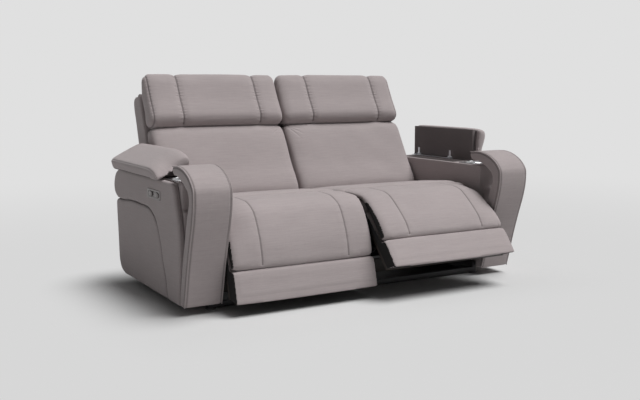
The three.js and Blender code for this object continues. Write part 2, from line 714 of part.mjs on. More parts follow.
function armBox() {
  const outline = [[armFront, armUnder], ...boxShares.map(([a, b]) => armPoint(a, b)), [armFront, armTop]];
  const body = sidePlate(outline, armInner, boxOuter);
  const corner = [armInner + boxEdge, armTop - boxEdge];
  const round = frontPlate([...arc(corner, boxEdge, 90, 180, 4), [armInner - bite, armTop - boxEdge],
    [armInner - bite, armTop + bite], [corner[0], armTop + bite]], armFront - overrun, sideRear + overrun);
  const store = box([armInner + boxWall, boxOuter - boxWall], [storeFront, storeRear],
    [storeFloor, armTop + overrun]);
  const bore = post(cupRadius + 2 * cupWall, cupAt, [armTop - cupDepth - 2 * cupWall, armTop + overrun], 24);
  return join(cut(body, round, store, bore), armFrontPanel());
}

// The pad on the lower front of the arm that the scroll's foot stands against
const frontPanelTop = 443;
const frontPanelDepth = 20;
const scrollThick = 46;

function armFrontPanel() {
  const face = armFront - frontPanelDepth;
  const outline = [[armFront + bite, armUnder], [armFront + bite, frontPanelTop], [face, frontPanelTop],
    [face, frontPanelStep], [scrollFoot + scrollThick + bite, armUnder]];
  return sidePlate(outline, armInner + sideGroove, boxOuter);
}

const scrollFrontShares = [
  [1, 0.994], [0.69, 1], [0.388, 0.976], [0.138, 0.923], [0.009, 0.86], [0, 0.812], [0.03, 0.745],
  [0.168, 0.662], [0.332, 0.502], [0.474, 0.3],
];
const scrollRearShares = [
  [0.694, 0.177], [0.608, 0.319], [0.44, 0.528], [0.306, 0.692], [0.224, 0.773], [0.216, 0.804],
  [0.276, 0.844], [0.418, 0.883], [0.608, 0.915], [1, 0.946],
];
const scrollEdge = 7;

function armScroll() {
  const scale = ([a, b]) => [a * scrollEnd, b * scrollTop];
  const front = smooth([...scrollFrontShares.map(scale), [scrollFoot, armUnder]], 2);
  const rear = smooth([[scrollFoot + scrollThick, armUnder], ...scrollRearShares.map(scale)], 2);
  const rows = [...front, ...rear].map(point => row(point));
  const rings = cushionRings(scrollInner, armOuter, { edge: scrollEdge, crown: 0, between: 1 });
  return loft(rows, rings, acrossWidth);
}

// Polished tray with a cup well, let into the arm's top between scroll and lid
function cupHolder() {
  const plate = box([armInner + boxEdge / 2, armOuter - sideEdge + sideGroove], cupPlateDepth,
    [armTop + touch, armTop + touch + plateThin]);
  const well = post(cupRadius + cupWall, cupAt, [armTop - cupDepth - cupWall, armTop + plateThin], 24);
  const rim = post(cupRadius + cupRim, cupAt, [armTop + plateThin, armTop + 2 * plateThin], 24);
  const cup = post(cupRadius, cupAt, [armTop - cupDepth, armTop + overrun], 24);
  return cut(join(plate, well, rim), cup);
}

// The console lid turns on a hinge just outside the arm's top outer edge
const lidGap = 3;
const lidOverlap = 2;
const lidBoardSetback = 45;
const noseReach = 135;
const tailReach = 26;
const lidReach = 19;
const hingeReach = 15;
const hingeRise = 6;
const lidIn = armInner - lidOverlap;
const lidOut = armOuter + lidReach;
const lidHinge = [armOuter + hingeReach, armTop + hingeRise];
const knuckle = 4;
const hingePin = 2;
const leafThick = 2.2;
const leafLong = 36;
const leafWide = 15;
const knuckleLong = 12;
const knuckleRoom = 2;
const leafPlay = 0.5;
const hingeInset = 45;
const hingeFront = 237;
const hingePlaces = [lidFront + hingeFront, lidRear - hingeInset];
const lidOverhang = 6;

const alongY = (radius, y, [x, z]) => {
  const geometry = new THREE.CylinderGeometry(radius, radius, y[1] - y[0], roundSides);
  return geometry.translate(x, (y[0] + y[1]) / 2, z);
};

function lidBoardShape() {
  const board = box([lidIn, lidOut], [lidFront + lidBoardSetback, lidRear],
    [armTop + lidGap, armTop + lidGap + lidBoard]);
  const tools = hingePlaces.flatMap(y => [
    box([lidHinge[0] - leafLong - touch, lidOut + overrun],
      [y - leafWide / 2 - leafPlay, y + leafWide / 2 + leafPlay],
      [armTop, armTop + lidGap + leafThick + 2 * touch]),
    box([lidHinge[0] - knuckle - knuckleRoom, lidOut + overrun],
      [y - leafWide / 2 - knuckleLong - knuckleRoom, y + leafWide / 2 + knuckleLong + knuckleRoom],
      [armTop, lidHinge[1] + knuckle + bite])]);
  return cut(board, ...tools);
}

// The pad's section, then the same points at the low nose of its front end
const lidShares = [
  [0, 0.182], [-0.02, 0.34], [-0.015, 0.68], [0.05, 0.915], [0.148, 1], [0.286, 0.945], [0.45, 0.82],
  [0.626, 0.665], [0.808, 0.49], [0.945, 0.34], [1, 0.21], [1.005, 0.085], [0.98, -0.01],
  [0.945, -0.025], [0.922, 0], [0.922, 0.182],
];
const lidNoseShares = [
  [0.04, 0.2], [0.03, 0.27], [0.035, 0.34], [0.08, 0.42], [0.165, 0.46], [0.3, 0.47], [0.45, 0.45],
  [0.626, 0.41], [0.8, 0.36], [0.93, 0.29], [0.98, 0.2], [0.985, 0.1], [0.965, 0.02],
  [0.945, 0], [0.922, 0.01], [0.922, 0.182],
];
const noseTurns = [0, 20, 40, 60, 90];
const tailTurns = [90, 50, 25, 0];
const tailShare = 0.3;

function lidPad() {
  const wide = armOuter + lidLip - lidIn;
  const [front, rear] = [lidFront, lidRear + lidOverhang];
  const rings = [
    ...noseTurns.map(turn => [
      front + noseReach * (1 - Math.cos(turn * radians)), 1 - Math.sin(turn * radians)]),
    ...tailTurns.map(turn => [
      rear - tailReach * (1 - Math.cos(turn * radians)), tailShare * (1 - Math.sin(turn * radians))])];
  const outlines = rings.map(([, low]) => lidShares.map(([a, b], i) => [
    lidIn + wide * (a + (lidNoseShares[i][0] - a) * low),
    armTop + lidCrown * (b + (lidNoseShares[i][1] - b) * low)]));
  return skin(outlines, rings.map(([y]) => y), alongDepth);
}

// The lid's hinge: a strip on the arm with knuckles and pins, and a slim leaf on the lid
function hingeStrip() {
  const z = [armTop + touch, armTop + lidGap - touch];
  const strip = box([lidHinge[0] - leafLong, armOuter + bite],
    [hingePlaces[0] - hingeInset, hingePlaces[1] + hingeInset / 2], z);
  const ends = hingePlaces.flatMap(y => [-1, 1].flatMap(way => {
    const near = y + way * (leafWide / 2 + leafPlay);
    const span = farSide([near, near + way * knuckleLong]);
    return [box([armOuter, lidHinge[0]], span, z), alongY(knuckle, span, lidHinge)];
  }));
  const reach = leafWide / 2 + knuckleLong;
  const pins = hingePlaces.map(y => alongY(hingePin, [y - reach, y + reach], lidHinge));
  return join(strip, ...ends, ...pins);
}

function lidLeaf(y) {
  const span = [y - leafWide / 2, y + leafWide / 2];
  const leaf = box([lidHinge[0] - leafLong, lidHinge[0]], span,
    [armTop + lidGap + touch, armTop + lidGap + touch + leafThick]);
  return cut(join(leaf, alongY(knuckle, span, lidHinge)),
    alongY(hingePin + pinClear, [y - leafWide, y + leafWide], lidHinge));
}

// Switch plate and its two push buttons on the arm's outer side
const switchAt = [453, 486];
const switchSize = [177, 42];
const switchThick = 5;
const buttonSize = [46, 20];
const buttonPitch = 80;
const buttonProud = 2;
const buttonTravel = 1.6;

const pill = ([y, z], [long, high]) => [
  ...arc([y + (long - high) / 2, z], high / 2, -90, 90, 6),
  ...arc([y - (long - high) / 2, z], high / 2, 90, 270, 6)];
const buttonAt = way => [switchAt[0] + way * buttonPitch / 2, switchAt[1]];

function switchPlate() {
  const face = armOuter + touch;
  const plate = sidePlate(pill(switchAt, switchSize), face, face + switchThick);
  const holes = [-1, 1].map(way => sidePlate(
    pill(buttonAt(way), buttonSize.map(size => size + 2 * pinClear)), face - bite,
    face + switchThick + bite));
  return cut(plate, ...holes);
}

function switchButton(way) {
  const face = armOuter + touch;
  return sidePlate(pill(buttonAt(way), buttonSize), face + buttonTravel, face + switchThick + buttonProud);
}

// Base frame and feet
const beams = [[inner, inner + seatRail], [railOuter - seatRail, railOuter]];
const baseMiddle = (baseFront + baseRear) / 2;
const bridgeHalf = 48;
const basePanel = 4;

function baseFrame() {
  const rails = [baseFront, baseRear - railWidth].map(y => (
    box([-railOuter, railOuter], [y, y + railWidth], [footHeight, railTop])));
  const sides = [-1, 1].flatMap(side => beams.map(([a, b]) => box(
    farSide([side * a, side * b]), [baseFront + bite, baseRear - bite], [footHeight, beamTop])));
  const bridge = box([-inner - bite, inner + bite], [baseMiddle - bridgeHalf, baseMiddle + bridgeHalf],
    [footHeight, beamTop]);
  const panel = box([-railOuter + bite, railOuter - bite], [baseFront + bite, baseRear - bite],
    [footHeight, footHeight + basePanel]);
  return join(...rails, ...sides, bridge, panel);
}

add('base_frame', baseFrame(), blackSteel);
const cornerFoot = [railOuter - seatRail / 2, baseFront + railWidth / 2, baseRear - railWidth / 2];
const feet = {
  foot_front_left: [-cornerFoot[0], cornerFoot[1]],
  foot_front_right: [cornerFoot[0], cornerFoot[1]],
  foot_rear_left: [-cornerFoot[0], cornerFoot[2]],
  foot_rear_right: [cornerFoot[0], cornerFoot[2]],
  foot_centre: [0, baseMiddle],
};
Object.entries(feet).forEach(([name, at]) => add(name, post(footRadius, at, [0, footHeight - touch]),
  plastic));

function seat(hand, side, opening) {
  const at = { side };
  add(`seat_frame_${hand}`, seatFrame(), timber, at);
  add(`seat_cushion_${hand}`, seatCushion(), fabric, at);
  const footrest = turned(new THREE.Vector3(0, ...hinge), 'x', -opening);
  add(`footrest_board_${hand}`, footrestBoard(), timber, { side, group: footrest });
  add(`footrest_pad_${hand}`, loft(padOutline(),
    cushionRings(inner, footOuter, {
      edge: padEdge, crown: padCrown, seams: [inner + seamInset, footOuter - seamInset] }),
    acrossWidth), fabric, { side, group: footrest });
  const drive = turned(new THREE.Vector3(0, ...tubeAxis), 'x', -opening);
  add(`drive_tube_${hand}`, driveTube(), blackSteel, { side, group: drive });
  const turn = opening * radians;
  const tip = [
    crank[0] * Math.cos(turn) + crank[1] * Math.sin(turn) - crank[0],
    crank[1] * Math.cos(turn) - crank[0] * Math.sin(turn) - crank[1]];
  const links = shifted(...tip);
  plateAt(linkIn).forEach((span, i) => add(
    `footrest_link_${i ? 'outer' : 'inner'}_${hand}`, footrestLink(span), zinc, { side, group: links }));
  add(`footrest_motor_${hand}`, footrestMotor(), plastic, at);
  const slide = shifted(-yokeStroke * opening / fullOpening, 0);
  add(`slide_block_${hand}`, slideBlock(), plastic, { side, group: slide });
  add(`back_frame_${hand}`, backFrame(), timber, at);
  add(`back_cushion_${hand}`, backCushion(), fabric, at);
  add(`back_shell_${hand}`, backShell(), fabric, at);
  add(`headrest_frame_${hand}`, headrestFrame(), timber, at);
  add(`headrest_pad_${hand}`, headrestPad(), fabric, at);
}

function arm(hand, side, opening) {
  const at = { side };
  add(`arm_box_${hand}`, armBox(), fabric, at);
  add(`arm_side_band_${hand}`, armBand(), fabric, at);
  add(`arm_side_panel_${hand}`, armSidePanel(), fabric, at);
  add(`arm_scroll_${hand}`, armScroll(), fabric, at);
  add(`cup_holder_${hand}`, cupHolder(), polished, at);
  add(`lid_hinge_strip_${hand}`, hingeStrip(), zinc, at);
  const lid = turned(new THREE.Vector3(side * lidHinge[0], 0, lidHinge[1]), 'y', side * opening);
  add(`lid_board_${hand}`, lidBoardShape(), lining, { side, group: lid });
  add(`lid_pad_${hand}`, lidPad(), fabric, { side, group: lid });
  hingePlaces.forEach((y, i) => add(
    `lid_leaf_${i ? 'rear' : 'front'}_${hand}`, lidLeaf(y), zinc, { side, group: lid }));
  add(`switch_plate_${hand}`, switchPlate(), polished, at);
  [-1, 1].forEach(way => add(
    `${way < 0 ? 'open' : 'close'}_button_${hand}`, switchButton(way), plastic, at));
}

seat('left', -1, leftOpening);
seat('right', 1, rightOpening);
arm('left', -1, leftLid);
arm('right', 1, rightLid);

// The origin is on the floor under the middle foot
sofa.position.set(0, -baseMiddle, 0);

export default sofa;
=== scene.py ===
# %% [markdown]
# # A two-seat reclining sofa with a console in each arm
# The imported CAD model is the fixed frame: it says where every hinge, board and cushion is. This lesson
# dresses it. Steel and timber keep their CAD shape and get a finish. Every soft part is made again as a
# padded form with its seams, and the cup trays and switch plates as smooth surfaces.

# %% Load the frame
import json
import math

import bmesh
import bpy
import numpy as np
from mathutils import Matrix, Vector

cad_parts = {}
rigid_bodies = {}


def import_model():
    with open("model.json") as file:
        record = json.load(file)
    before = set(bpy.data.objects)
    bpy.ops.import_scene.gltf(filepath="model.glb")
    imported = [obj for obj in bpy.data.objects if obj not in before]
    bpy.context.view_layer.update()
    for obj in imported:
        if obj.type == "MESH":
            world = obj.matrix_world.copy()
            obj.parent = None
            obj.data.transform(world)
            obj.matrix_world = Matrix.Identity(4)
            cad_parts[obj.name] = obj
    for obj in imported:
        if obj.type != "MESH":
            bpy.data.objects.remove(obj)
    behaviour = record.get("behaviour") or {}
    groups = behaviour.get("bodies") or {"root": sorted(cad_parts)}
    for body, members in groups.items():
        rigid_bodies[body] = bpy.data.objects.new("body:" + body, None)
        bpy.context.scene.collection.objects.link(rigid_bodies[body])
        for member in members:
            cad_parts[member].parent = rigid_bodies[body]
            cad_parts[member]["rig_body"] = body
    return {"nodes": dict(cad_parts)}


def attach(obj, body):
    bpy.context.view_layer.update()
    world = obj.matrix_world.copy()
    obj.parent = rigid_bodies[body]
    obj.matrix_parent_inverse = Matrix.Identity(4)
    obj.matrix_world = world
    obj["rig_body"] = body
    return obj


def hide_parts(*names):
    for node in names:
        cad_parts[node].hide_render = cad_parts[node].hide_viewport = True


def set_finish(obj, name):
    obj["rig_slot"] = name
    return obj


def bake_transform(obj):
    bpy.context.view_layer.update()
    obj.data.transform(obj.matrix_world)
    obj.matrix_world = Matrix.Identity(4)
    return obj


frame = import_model()
nodes = frame["nodes"]
slots = {name: part.data.materials[0].name.split(".")[0] for name, part in nodes.items()}
slot_of = slots.get
scene = bpy.context.scene
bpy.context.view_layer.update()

# %% [markdown]
# The drawing counts in millimetres from the front of the arms, and Blender in metres from the middle of
# the base, so one function moves between them. Camera first: it stands where the photographer stood,
# to the left in front of the sofa, nearly as high as its backs, and looks slightly down.

# %% Units and camera
MM = 0.001
ARM_FRONTS = 512
LENS, CAMERA_AT = 48.66, (-2.1779, -3.7219, 0.9669)
LOOKS_DOWN, LOOKS_RIGHT = 7.572, 30.235


def to_frame(x, y, z):
    """Drawing millimetres to frame metres: depth loses the distance from arm fronts to base middle."""
    return np.stack(np.broadcast_arrays(x, np.asarray(y) - ARM_FRONTS, z), -1) * MM


lens = bpy.data.cameras.new("photo_camera")
lens.lens = LENS
lens.clip_end = 60
camera = bpy.data.objects.new("photo_camera", lens)
scene.collection.objects.link(camera)
camera.location = CAMERA_AT
camera.rotation_euler = (math.radians(90 - LOOKS_DOWN), 0, math.radians(-LOOKS_RIGHT))
scene.camera = camera
print("camera at", tuple(camera.location))

# %% [markdown]
# Every new surface starts as a table of points. Blender's own curves could join them, but would have to
# be made into a mesh before the points between are known. Here a smooth line is worked out with numpy
# and cut into even steps, so the grid that is made from it has faces of one size.

# %% Smooth lines through tables
CURVE_STEPS = 24


def smooth_line(points, count, closed=False):
    """Hermite's cubic through the points. The tangent at a point is the mean of the two slopes beside
    it, each weighted by the other stretch's length. The line is then resampled at even lengths."""
    p = np.asarray(points, float)
    if closed:
        p = np.vstack([p, p[:1]])
    step = np.diff(p, axis=0)
    long = np.maximum(np.linalg.norm(step, axis=1), 1e-9)[:, None]
    slope = step / long
    before, after = np.vstack([slope[-1:], slope]), np.vstack([slope, slope[:1]])
    long_before, long_after = np.vstack([long[-1:], long]), np.vstack([long, long[:1]])
    if not closed:
        before[0], after[-1] = slope[0], slope[-1]
    tangent = (before * long_after + after * long_before) / (long_before + long_after)
    u = np.linspace(0, 1, CURVE_STEPS, endpoint=False)[:, None, None]
    dense = ((2 * u**3 - 3 * u**2 + 1) * p[:-1] + (u**3 - 2 * u**2 + u) * tangent[:-1] * long
             + (3 * u**2 - 2 * u**3) * p[1:] + (u**3 - u**2) * tangent[1:] * long)
    dense = np.vstack([dense.transpose(1, 0, 2).reshape(-1, p.shape[1]), p[-1:]])
    return even_steps(dense, count, closed)


def run_of(line):
    """How far along the line each of its points lies: the sum of the steps up to it."""
    return np.r_[0, np.cumsum(np.linalg.norm(np.diff(line, axis=0), axis=1))]


def way_of(line):
    """The way the line runs at each of its points, as a step of length 1."""
    way = np.gradient(line, axis=0)
    return way / np.linalg.norm(way, axis=1)[:, None]


def even_steps(line, count, closed=False):
    """The same line with count points at equal lengths along it."""
    run = run_of(line)
    at = np.linspace(0, run[-1], count, endpoint=not closed)
    return np.stack([np.interp(at, run, line[:, k]) for k in range(line.shape[1])], -1)


def ring_of(*lines, count=160):
    """One closed outline made of smooth lines that meet in corners, turned anticlockwise."""
    ring = np.vstack([*lines, lines[0][:1]])
    ring = even_steps(ring, count, closed=True)
    nxt = np.roll(ring, -1, axis=0)
    area = np.sum(ring[:, 0] * nxt[:, 1] - nxt[:, 0] * ring[:, 1])
    return ring if area > 0 else ring[::-1]


def outward(ring):
    """Normals of an anticlockwise outline: the way to the next point, turned by a right angle."""
    along = np.roll(ring, -1, axis=0) - np.roll(ring, 1, axis=0)
    normal = np.stack([along[:, 1], -along[:, 0]], -1)
    return normal / np.maximum(np.linalg.norm(normal, axis=1), 1e-9)[:, None]


# %% [markdown]
# A grid of points becomes a closed mesh in one step: the rings are joined by quads and each end gets a
# flat cap. The normals are then turned outwards, since a mirrored table runs the other way round.

# %% From grid to mesh


def piece_from(name, points, faces):
    """A mesh object at the origin from points and faces, with its faces turned outwards."""
    mesh = bpy.data.meshes.new(name)
    mesh.from_pydata(points.tolist(), [], faces)
    shell = bmesh.new()
    shell.from_mesh(mesh)
    bmesh.ops.remove_doubles(shell, verts=shell.verts, dist=1e-6)
    bmesh.ops.recalc_face_normals(shell, faces=shell.faces)
    shell.to_mesh(mesh)
    shell.free()
    mesh.shade_smooth()
    piece = bpy.data.objects.new(name, mesh)
    scene.collection.objects.link(piece)
    return piece


def grid_faces(rows, columns, loop=True, caps=True, first=0):
    """Quads between neighbouring rings of a grid, with a cap on the first and the last ring."""
    index = np.arange(rows * columns).reshape(rows, columns) + first
    beside = np.roll(index, -1, axis=1) if loop else index[:, 1:]
    here = index if loop else index[:, :-1]
    faces = np.stack([here[:-1], beside[:-1], beside[1:], here[1:]], -1).reshape(-1, 4).tolist()
    return faces + ([index[0].tolist(), index[-1].tolist()] if caps else [])


def grid_piece(name, grid, caps=True, loop=True):
    """A piece from a grid of rings: grid[i, j] is point j of ring i, in frame metres."""
    rows, columns = grid.shape[:2]
    return piece_from(name, grid.reshape(-1, 3), grid_faces(rows, columns, loop, caps))


def end_turns(edge, steps=6):
    """A rounded end: how far in from the end, and how far the outline is drawn in there."""
    turn = np.linspace(0, np.pi / 2, steps)
    return edge * (1 - np.cos(turn)), edge * (1 - np.sin(turn))


def across(ring, x, draw_in, swell=0.0):
    """A side outline carried across the width: at each x it is drawn in along its normals and swollen
    out by its own share. x may differ from point to point."""
    move = np.asarray(swell) - np.asarray(draw_in)[:, None]
    flat = ring[None] + outward(ring)[None] * (move * np.ones(len(ring)))[..., None]
    return to_frame(np.asarray(x), flat[..., 0], flat[..., 1])


def pad_form(name, ring, ends, edge, hand, crown=0.0, crown_share=None, reach=None, count=25,
             small=0.0):
    """A padded form between two x ends. Its outline is drawn in over a rounded edge at each end, and
    its crown falls from the middle to the ends as one less the fourth power of the way out. small is
    how much smaller all of it starts, before the cloth is blown up."""
    near, far = ends
    step, inset = end_turns(edge)
    middle = np.linspace(near + edge, far - edge, count)[1:-1]
    x = np.r_[near + step, middle, (far - step)[::-1]]
    draw_in = np.r_[inset, np.zeros(len(middle)), inset[::-1]]
    out = np.abs(2 * (x - near) / (far - near) - 1)
    share = np.ones(len(ring)) if crown_share is None else crown_share
    swell = crown * (1 - out**4)[:, None] * share
    place = np.repeat(x[:, None], len(ring), 1)
    if reach is not None:
        place = near + (place - near) * ((reach - near) / (far - near))
    return grid_piece(name, across(ring, hand * place, draw_in + small, swell))


def applied(piece):
    """Writes what the modifiers make into the mesh, and takes them off."""
    graph = bpy.context.evaluated_depsgraph_get()
    made = bpy.data.meshes.new_from_object(piece.evaluated_get(graph), depsgraph=graph)
    piece.modifiers.clear()
    piece.data = made
    piece.data.shade_smooth()
    return piece


def points_of(piece):
    """All points of a mesh as one array."""
    points = np.zeros(len(piece.data.vertices) * 3, np.float32)
    piece.data.vertices.foreach_get("co", points)
    return points.reshape(-1, 3).astype(float)


def move_points(piece, points):
    """Puts an array of points back into the mesh."""
    piece.data.vertices.foreach_set("co", points.astype(np.float32).ravel())
    piece.data.update()


def normals_of(piece):
    """The outward direction at every point."""
    normals = np.zeros(len(piece.data.vertices) * 3, np.float32)
    piece.data.vertex_normals.foreach_get("vector", normals)
    return normals.reshape(-1, 3).astype(float)


# %% [markdown]
# Foam in a sewn cover is firm but never flat. It could be sculpted by hand, but a script gives the same
# form each time. Each cushion starts a few millimetres small, is cut into even squares of cloth and
# raised along its normals. Cloth under pressure then moves it for twenty frames with gravity off. A cap
# keeps every point close to the drawing, and seams are pressed in afterwards, when the cloth is fine
# enough to hold them.

# %% Cloth for the padded forms
VOXEL, FINE_VOXEL, SHELL_VOXEL = 0.011, 0.006, 0.008
SMALL = 6
RAISED_FIRST, CLOTH_SHARE, DRAWN_IN_UNDONE = 0.7, 0.4, 0.8
CLOTH_FRAMES = 20


def evenly_meshed(piece, size=VOXEL, smooth=4):
    """Remeshed into squares of one size, with the steps between them smoothed away."""
    remesh = piece.modifiers.new("even", "REMESH")
    remesh.mode, remesh.voxel_size, remesh.use_smooth_shade = "VOXEL", size, True
    soften = piece.modifiers.new("soft", "SMOOTH")
    soften.factor, soften.iterations = 0.5, smooth
    return applied(piece)


def puffed(piece, rise, held=0.0):
    """Moves each point out along its normal by rise, in millimetres, less the share that is held. Each
    may be one number or one for every point."""
    free = np.ones(len(piece.data.vertices)) * (1 - held)
    move_points(piece, points_of(piece) + normals_of(piece) * (rise * MM * free)[:, None])
    return piece


def blown_up(piece, cap, held=0.0, pressure=4.0):
    """The piece raised by most of cap, in millimetres, and then blown up as cloth under pressure. The
    cloth moves no point further than CLOTH_SHARE of cap, and draws none in by more than a little of
    that, because the cushions press on each other. Points in held, a share from 0 to 1, stay."""
    puffed(piece, cap * RAISED_FIRST, held)
    before, outwards = points_of(piece), normals_of(piece)
    free = np.ones(len(before)) * (1 - held)
    cloth = piece.modifiers.new("cloth", "CLOTH")
    settings = cloth.settings
    settings.use_pressure, settings.uniform_pressure_force = True, pressure
    settings.effector_weights.gravity = 0
    settings.quality = 4
    for moment in range(1, CLOTH_FRAMES + 1):
        scene.frame_set(moment)
    graph = bpy.context.evaluated_depsgraph_get()
    after = np.zeros(len(before) * 3, np.float32)
    piece.evaluated_get(graph).data.vertices.foreach_get("co", after)
    move = (after.reshape(-1, 3) - before) * free[:, None]
    drawn_in = np.minimum((move * outwards).sum(1), 0)
    move -= outwards * (drawn_in * DRAWN_IN_UNDONE)[:, None]
    far = np.maximum(np.linalg.norm(move, axis=1), 1e-9)[:, None]
    piece.modifiers.clear()
    scene.frame_set(1)
    move_points(piece, before + move * np.minimum(1, CLOTH_SHARE * cap * MM / far))
    return piece


def finer(piece, levels=1):
    """Subdivided once or more, rounded as it goes."""
    cut = piece.modifiers.new("finer", "SUBSURF")
    cut.levels = cut.render_levels = levels
    return applied(piece)


def finer_near(piece, hand, chosen):
    """Cuts each face that chosen picks into four, so that a narrow seam has points enough. It takes the
    faces' middles in drawing millimetres."""
    middles = np.array([face.center for face in piece.data.polygons]) / MM
    picked = chosen(hand * middles[:, 0], middles[:, 1] + ARM_FRONTS, middles[:, 2])
    mesh = bmesh.new()
    mesh.from_mesh(piece.data)
    mesh.faces.ensure_lookup_table()
    edges = dict.fromkeys(edge for index in np.flatnonzero(picked) for edge in mesh.faces[index].edges)
    bmesh.ops.subdivide_edges(mesh, edges=list(edges), cuts=1, use_grid_fill=True)
    mesh.to_mesh(piece.data)
    mesh.free()


def off_lines(x, lines):
    """How far x is from the nearest of the lines."""
    return np.min([np.abs(x - line) for line in lines], axis=0)


def beside(x, lines, reach):
    """Where x is within reach of any of the lines."""
    return off_lines(x, lines) < reach


def ease(low, high, value):
    """Rises smoothly from 0 at low to 1 at high: three squares less two cubes of the way across."""
    t = np.clip((np.asarray(value, float) - low) / (high - low), 0, 1)
    return t * t * (3 - 2 * t)


def bell(distance, width):
    """1 on a line and close to 0 a width away, as a bell curve of the distance."""
    return np.exp(-((distance / width) ** 2))


def drawing_of(piece, hand=1):
    """The piece's points back in drawing millimetres: across from the middle, depth and height."""
    x, y, z = points_of(piece).T / MM
    return hand * x, y + ARM_FRONTS, z


# %% [markdown]
# A seam is three things: a narrow furrow where the thread pulls, a wide soft valley in the filling, and
# short puckers that cross it. It could be cut in as a row of creased edges, but a depth for every point
# can follow any line over the cloth. The depths are added up and pressed in along the normals. The
# furrow is also kept as an attribute, so that the cloth's material can darken it: partly painted shade
# in the furrow, and partly the stitching's darker thread.

# %% Seams


def stitched(piece, seams, ripple=0.0, along=None):
    """Presses seams in. Each is a distance in millimetres for every point, then the furrow's depth and
    width and the valley's. Puckers are a sine of the run along the seam, fading over the valley."""
    depth, mask = np.zeros((2, len(piece.data.vertices)))
    for distance, furrow, narrow, valley, wide in seams:
        line = bell(distance, narrow)
        soft = bell(distance, wide)
        depth += furrow * line + valley * soft
        if along is not None:
            wave = np.sin(along * 0.29 + 1.7 * np.sin(along * 0.053)) + 0.6 * np.sin(along * 0.47 + 1)
            depth += ripple * wave * soft * (1 - line)
        mask = np.maximum(mask, line)
    puffed(piece, -depth)
    # The furrow's mask becomes the seam attribute, which the cloth darkens: painted shade in the furrow,
    # and the stitching's darker thread.
    seam = piece.data.attributes.get("seam") or piece.data.attributes.new("seam", "FLOAT", "POINT")
    seam.data.foreach_set("value", mask.astype(np.float32))
    return piece


def uneven(piece, amount, seed):
    """Slow hollows and swells of the filling: a sum of six sines of place with seeded directions."""
    dice = np.random.default_rng(seed)
    waves = dice.normal(size=(6, 3)) * np.array([14.0, 18.0, 18.0])
    phase = dice.uniform(0, 2 * np.pi, 6)
    swell = np.sin(points_of(piece) @ waves.T + phase).sum(1) / 6
    return puffed(piece, swell * amount)


# %% [markdown]
# Woven cloth has a direction: its thicker threads run across a cushion, whatever way the cushion turns.
# Each point therefore keeps its place on the cloth, along the thread and across it, as an attribute. A
# UV map could hold it too, but an attribute needs no unwrapping: its values come from the outline.

# %% Lie of the threads
BLOCK = 4000


def nearest_on(points, line):
    """For each point, the distance to the nearest point of a line and that point's number, worked out in
    blocks of points because all the distances at once would not fit in memory."""
    squares = (((block[:, None] - line[None]) ** 2).sum(-1)
               for block in np.array_split(points, len(points) // BLOCK + 1))
    found = [(np.sqrt(square.min(1)), square.argmin(1)) for square in squares]
    return tuple(np.concatenate(part) for part in zip(*found))


def run_round(piece, ring):
    """How far round its side outline each point lies, in millimetres: the run to the nearest of the
    outline's points."""
    x, y, z = drawing_of(piece)
    return run_of(ring)[nearest_on(np.stack([y, z], -1), ring)[1]]


def lay_threads(piece, run, along=0):
    """Keeps each point's place on its cloth in metres: along the thread, and its run across the
    threads. On faces that look out sideways the threads run along the depth, whatever the rest does."""
    points, normals = points_of(piece), normals_of(piece)
    place = np.stack([points[:, along], run * MM, np.zeros(len(run))], -1)
    sideways = np.abs(normals[:, 0]) > 0.8
    if along == 0:
        place[sideways, :2] = points[sideways][:, 1:]
    threads = piece.data.attributes.new("threads", "FLOAT_VECTOR", "POINT")
    threads.data.foreach_set("vector", place.astype(np.float32).ravel())


def second_finish(piece, chosen):
    """Gives the piece's second material to the faces that chosen picks: it takes the faces' middles in
    drawing millimetres, with x counted outwards from the sofa's middle, and their normals."""
    middles = np.array([face.center for face in piece.data.polygons]) / MM
    normals = np.array([face.normal for face in piece.data.polygons])
    picked = chosen(np.abs(middles[:, 0]), middles[:, 1] + ARM_FRONTS, middles[:, 2], normals)
    piece.data.polygons.foreach_set("material_index", picked.astype(np.int32))


# %% [markdown]
# ## Side outlines
# The sofa is drawn in side view: depth back from the arm fronts, and height. The seat and the footrest
# are one padded surface that rolls over a round nose, and the footrest turns about the nose's middle.
# Rounded blocks would be simpler, but would lose the nose and the step under the cover. Tables hold
# shares of a part's own length and thickness, so they stay with the part if it grows.

# %% The seat's measures
SEAT_TOP, NOSE, SEAT_LONG = 463, 68, 522
HINGE = np.array([190.0, 395.0])
LEAN = math.radians(18)
INNER, OUTER, FOOT_OUTER = 6, 742, 711
SEAM_INSET = 137
NOSE_TILT, BLEND_LONG = 54, {"left": 155, "right": 130}
SEAT_EDGE, SEAT_CROWN, SEAT_CAP, COVER_CAP = 20, 6, 6, 5
CROWN_FROM, CROWN_TO = (400, 455), (700, 640)
PAD_MIDDLE, PAD_HALF = 318, 43
SEAT_FURROW = (2.6, 3.2, 1.6, 15)
OPENING = {"left": 0, "right": 24}
HAND = {"left": -1, "right": 1}


def from_hinge(y, z):
    """Distance from the hinge's line."""
    return np.hypot(y - HINGE[0], z - HINGE[1])


def about_hinge(ahead, up, opening):
    """Ahead and up from the hinge, turned open by that angle, as depth and height."""
    turn = math.radians(opening)
    return np.stack([HINGE[0] - ahead * math.cos(turn) + up * math.sin(turn),
                     HINGE[1] + ahead * math.sin(turn) + up * math.cos(turn)], -1)


def foot_line(table, opening):
    """Points along the footrest: down its length and out from the hinge line, in millimetres."""
    down, out = np.asarray(table, float).T
    return about_hinge(math.sin(LEAN) * down + math.cos(LEAN) * out,
                       math.sin(LEAN) * out - math.cos(LEAN) * down, opening)


def round_nose(angles, radii):
    """Points round the hinge: angle above the level, in degrees, and distance."""
    turn = np.radians(np.asarray(angles, float))
    return np.stack([HINGE[0] - radii * np.cos(turn), HINGE[1] + radii * np.sin(turn)], -1)


def seat_line(table):
    """Points behind the nose: shares of the seat's length and of its thickness down."""
    back, down = np.asarray(table, float).T
    return np.stack([HINGE[0] + back * SEAT_LONG, SEAT_TOP - down * 2 * NOSE], -1)


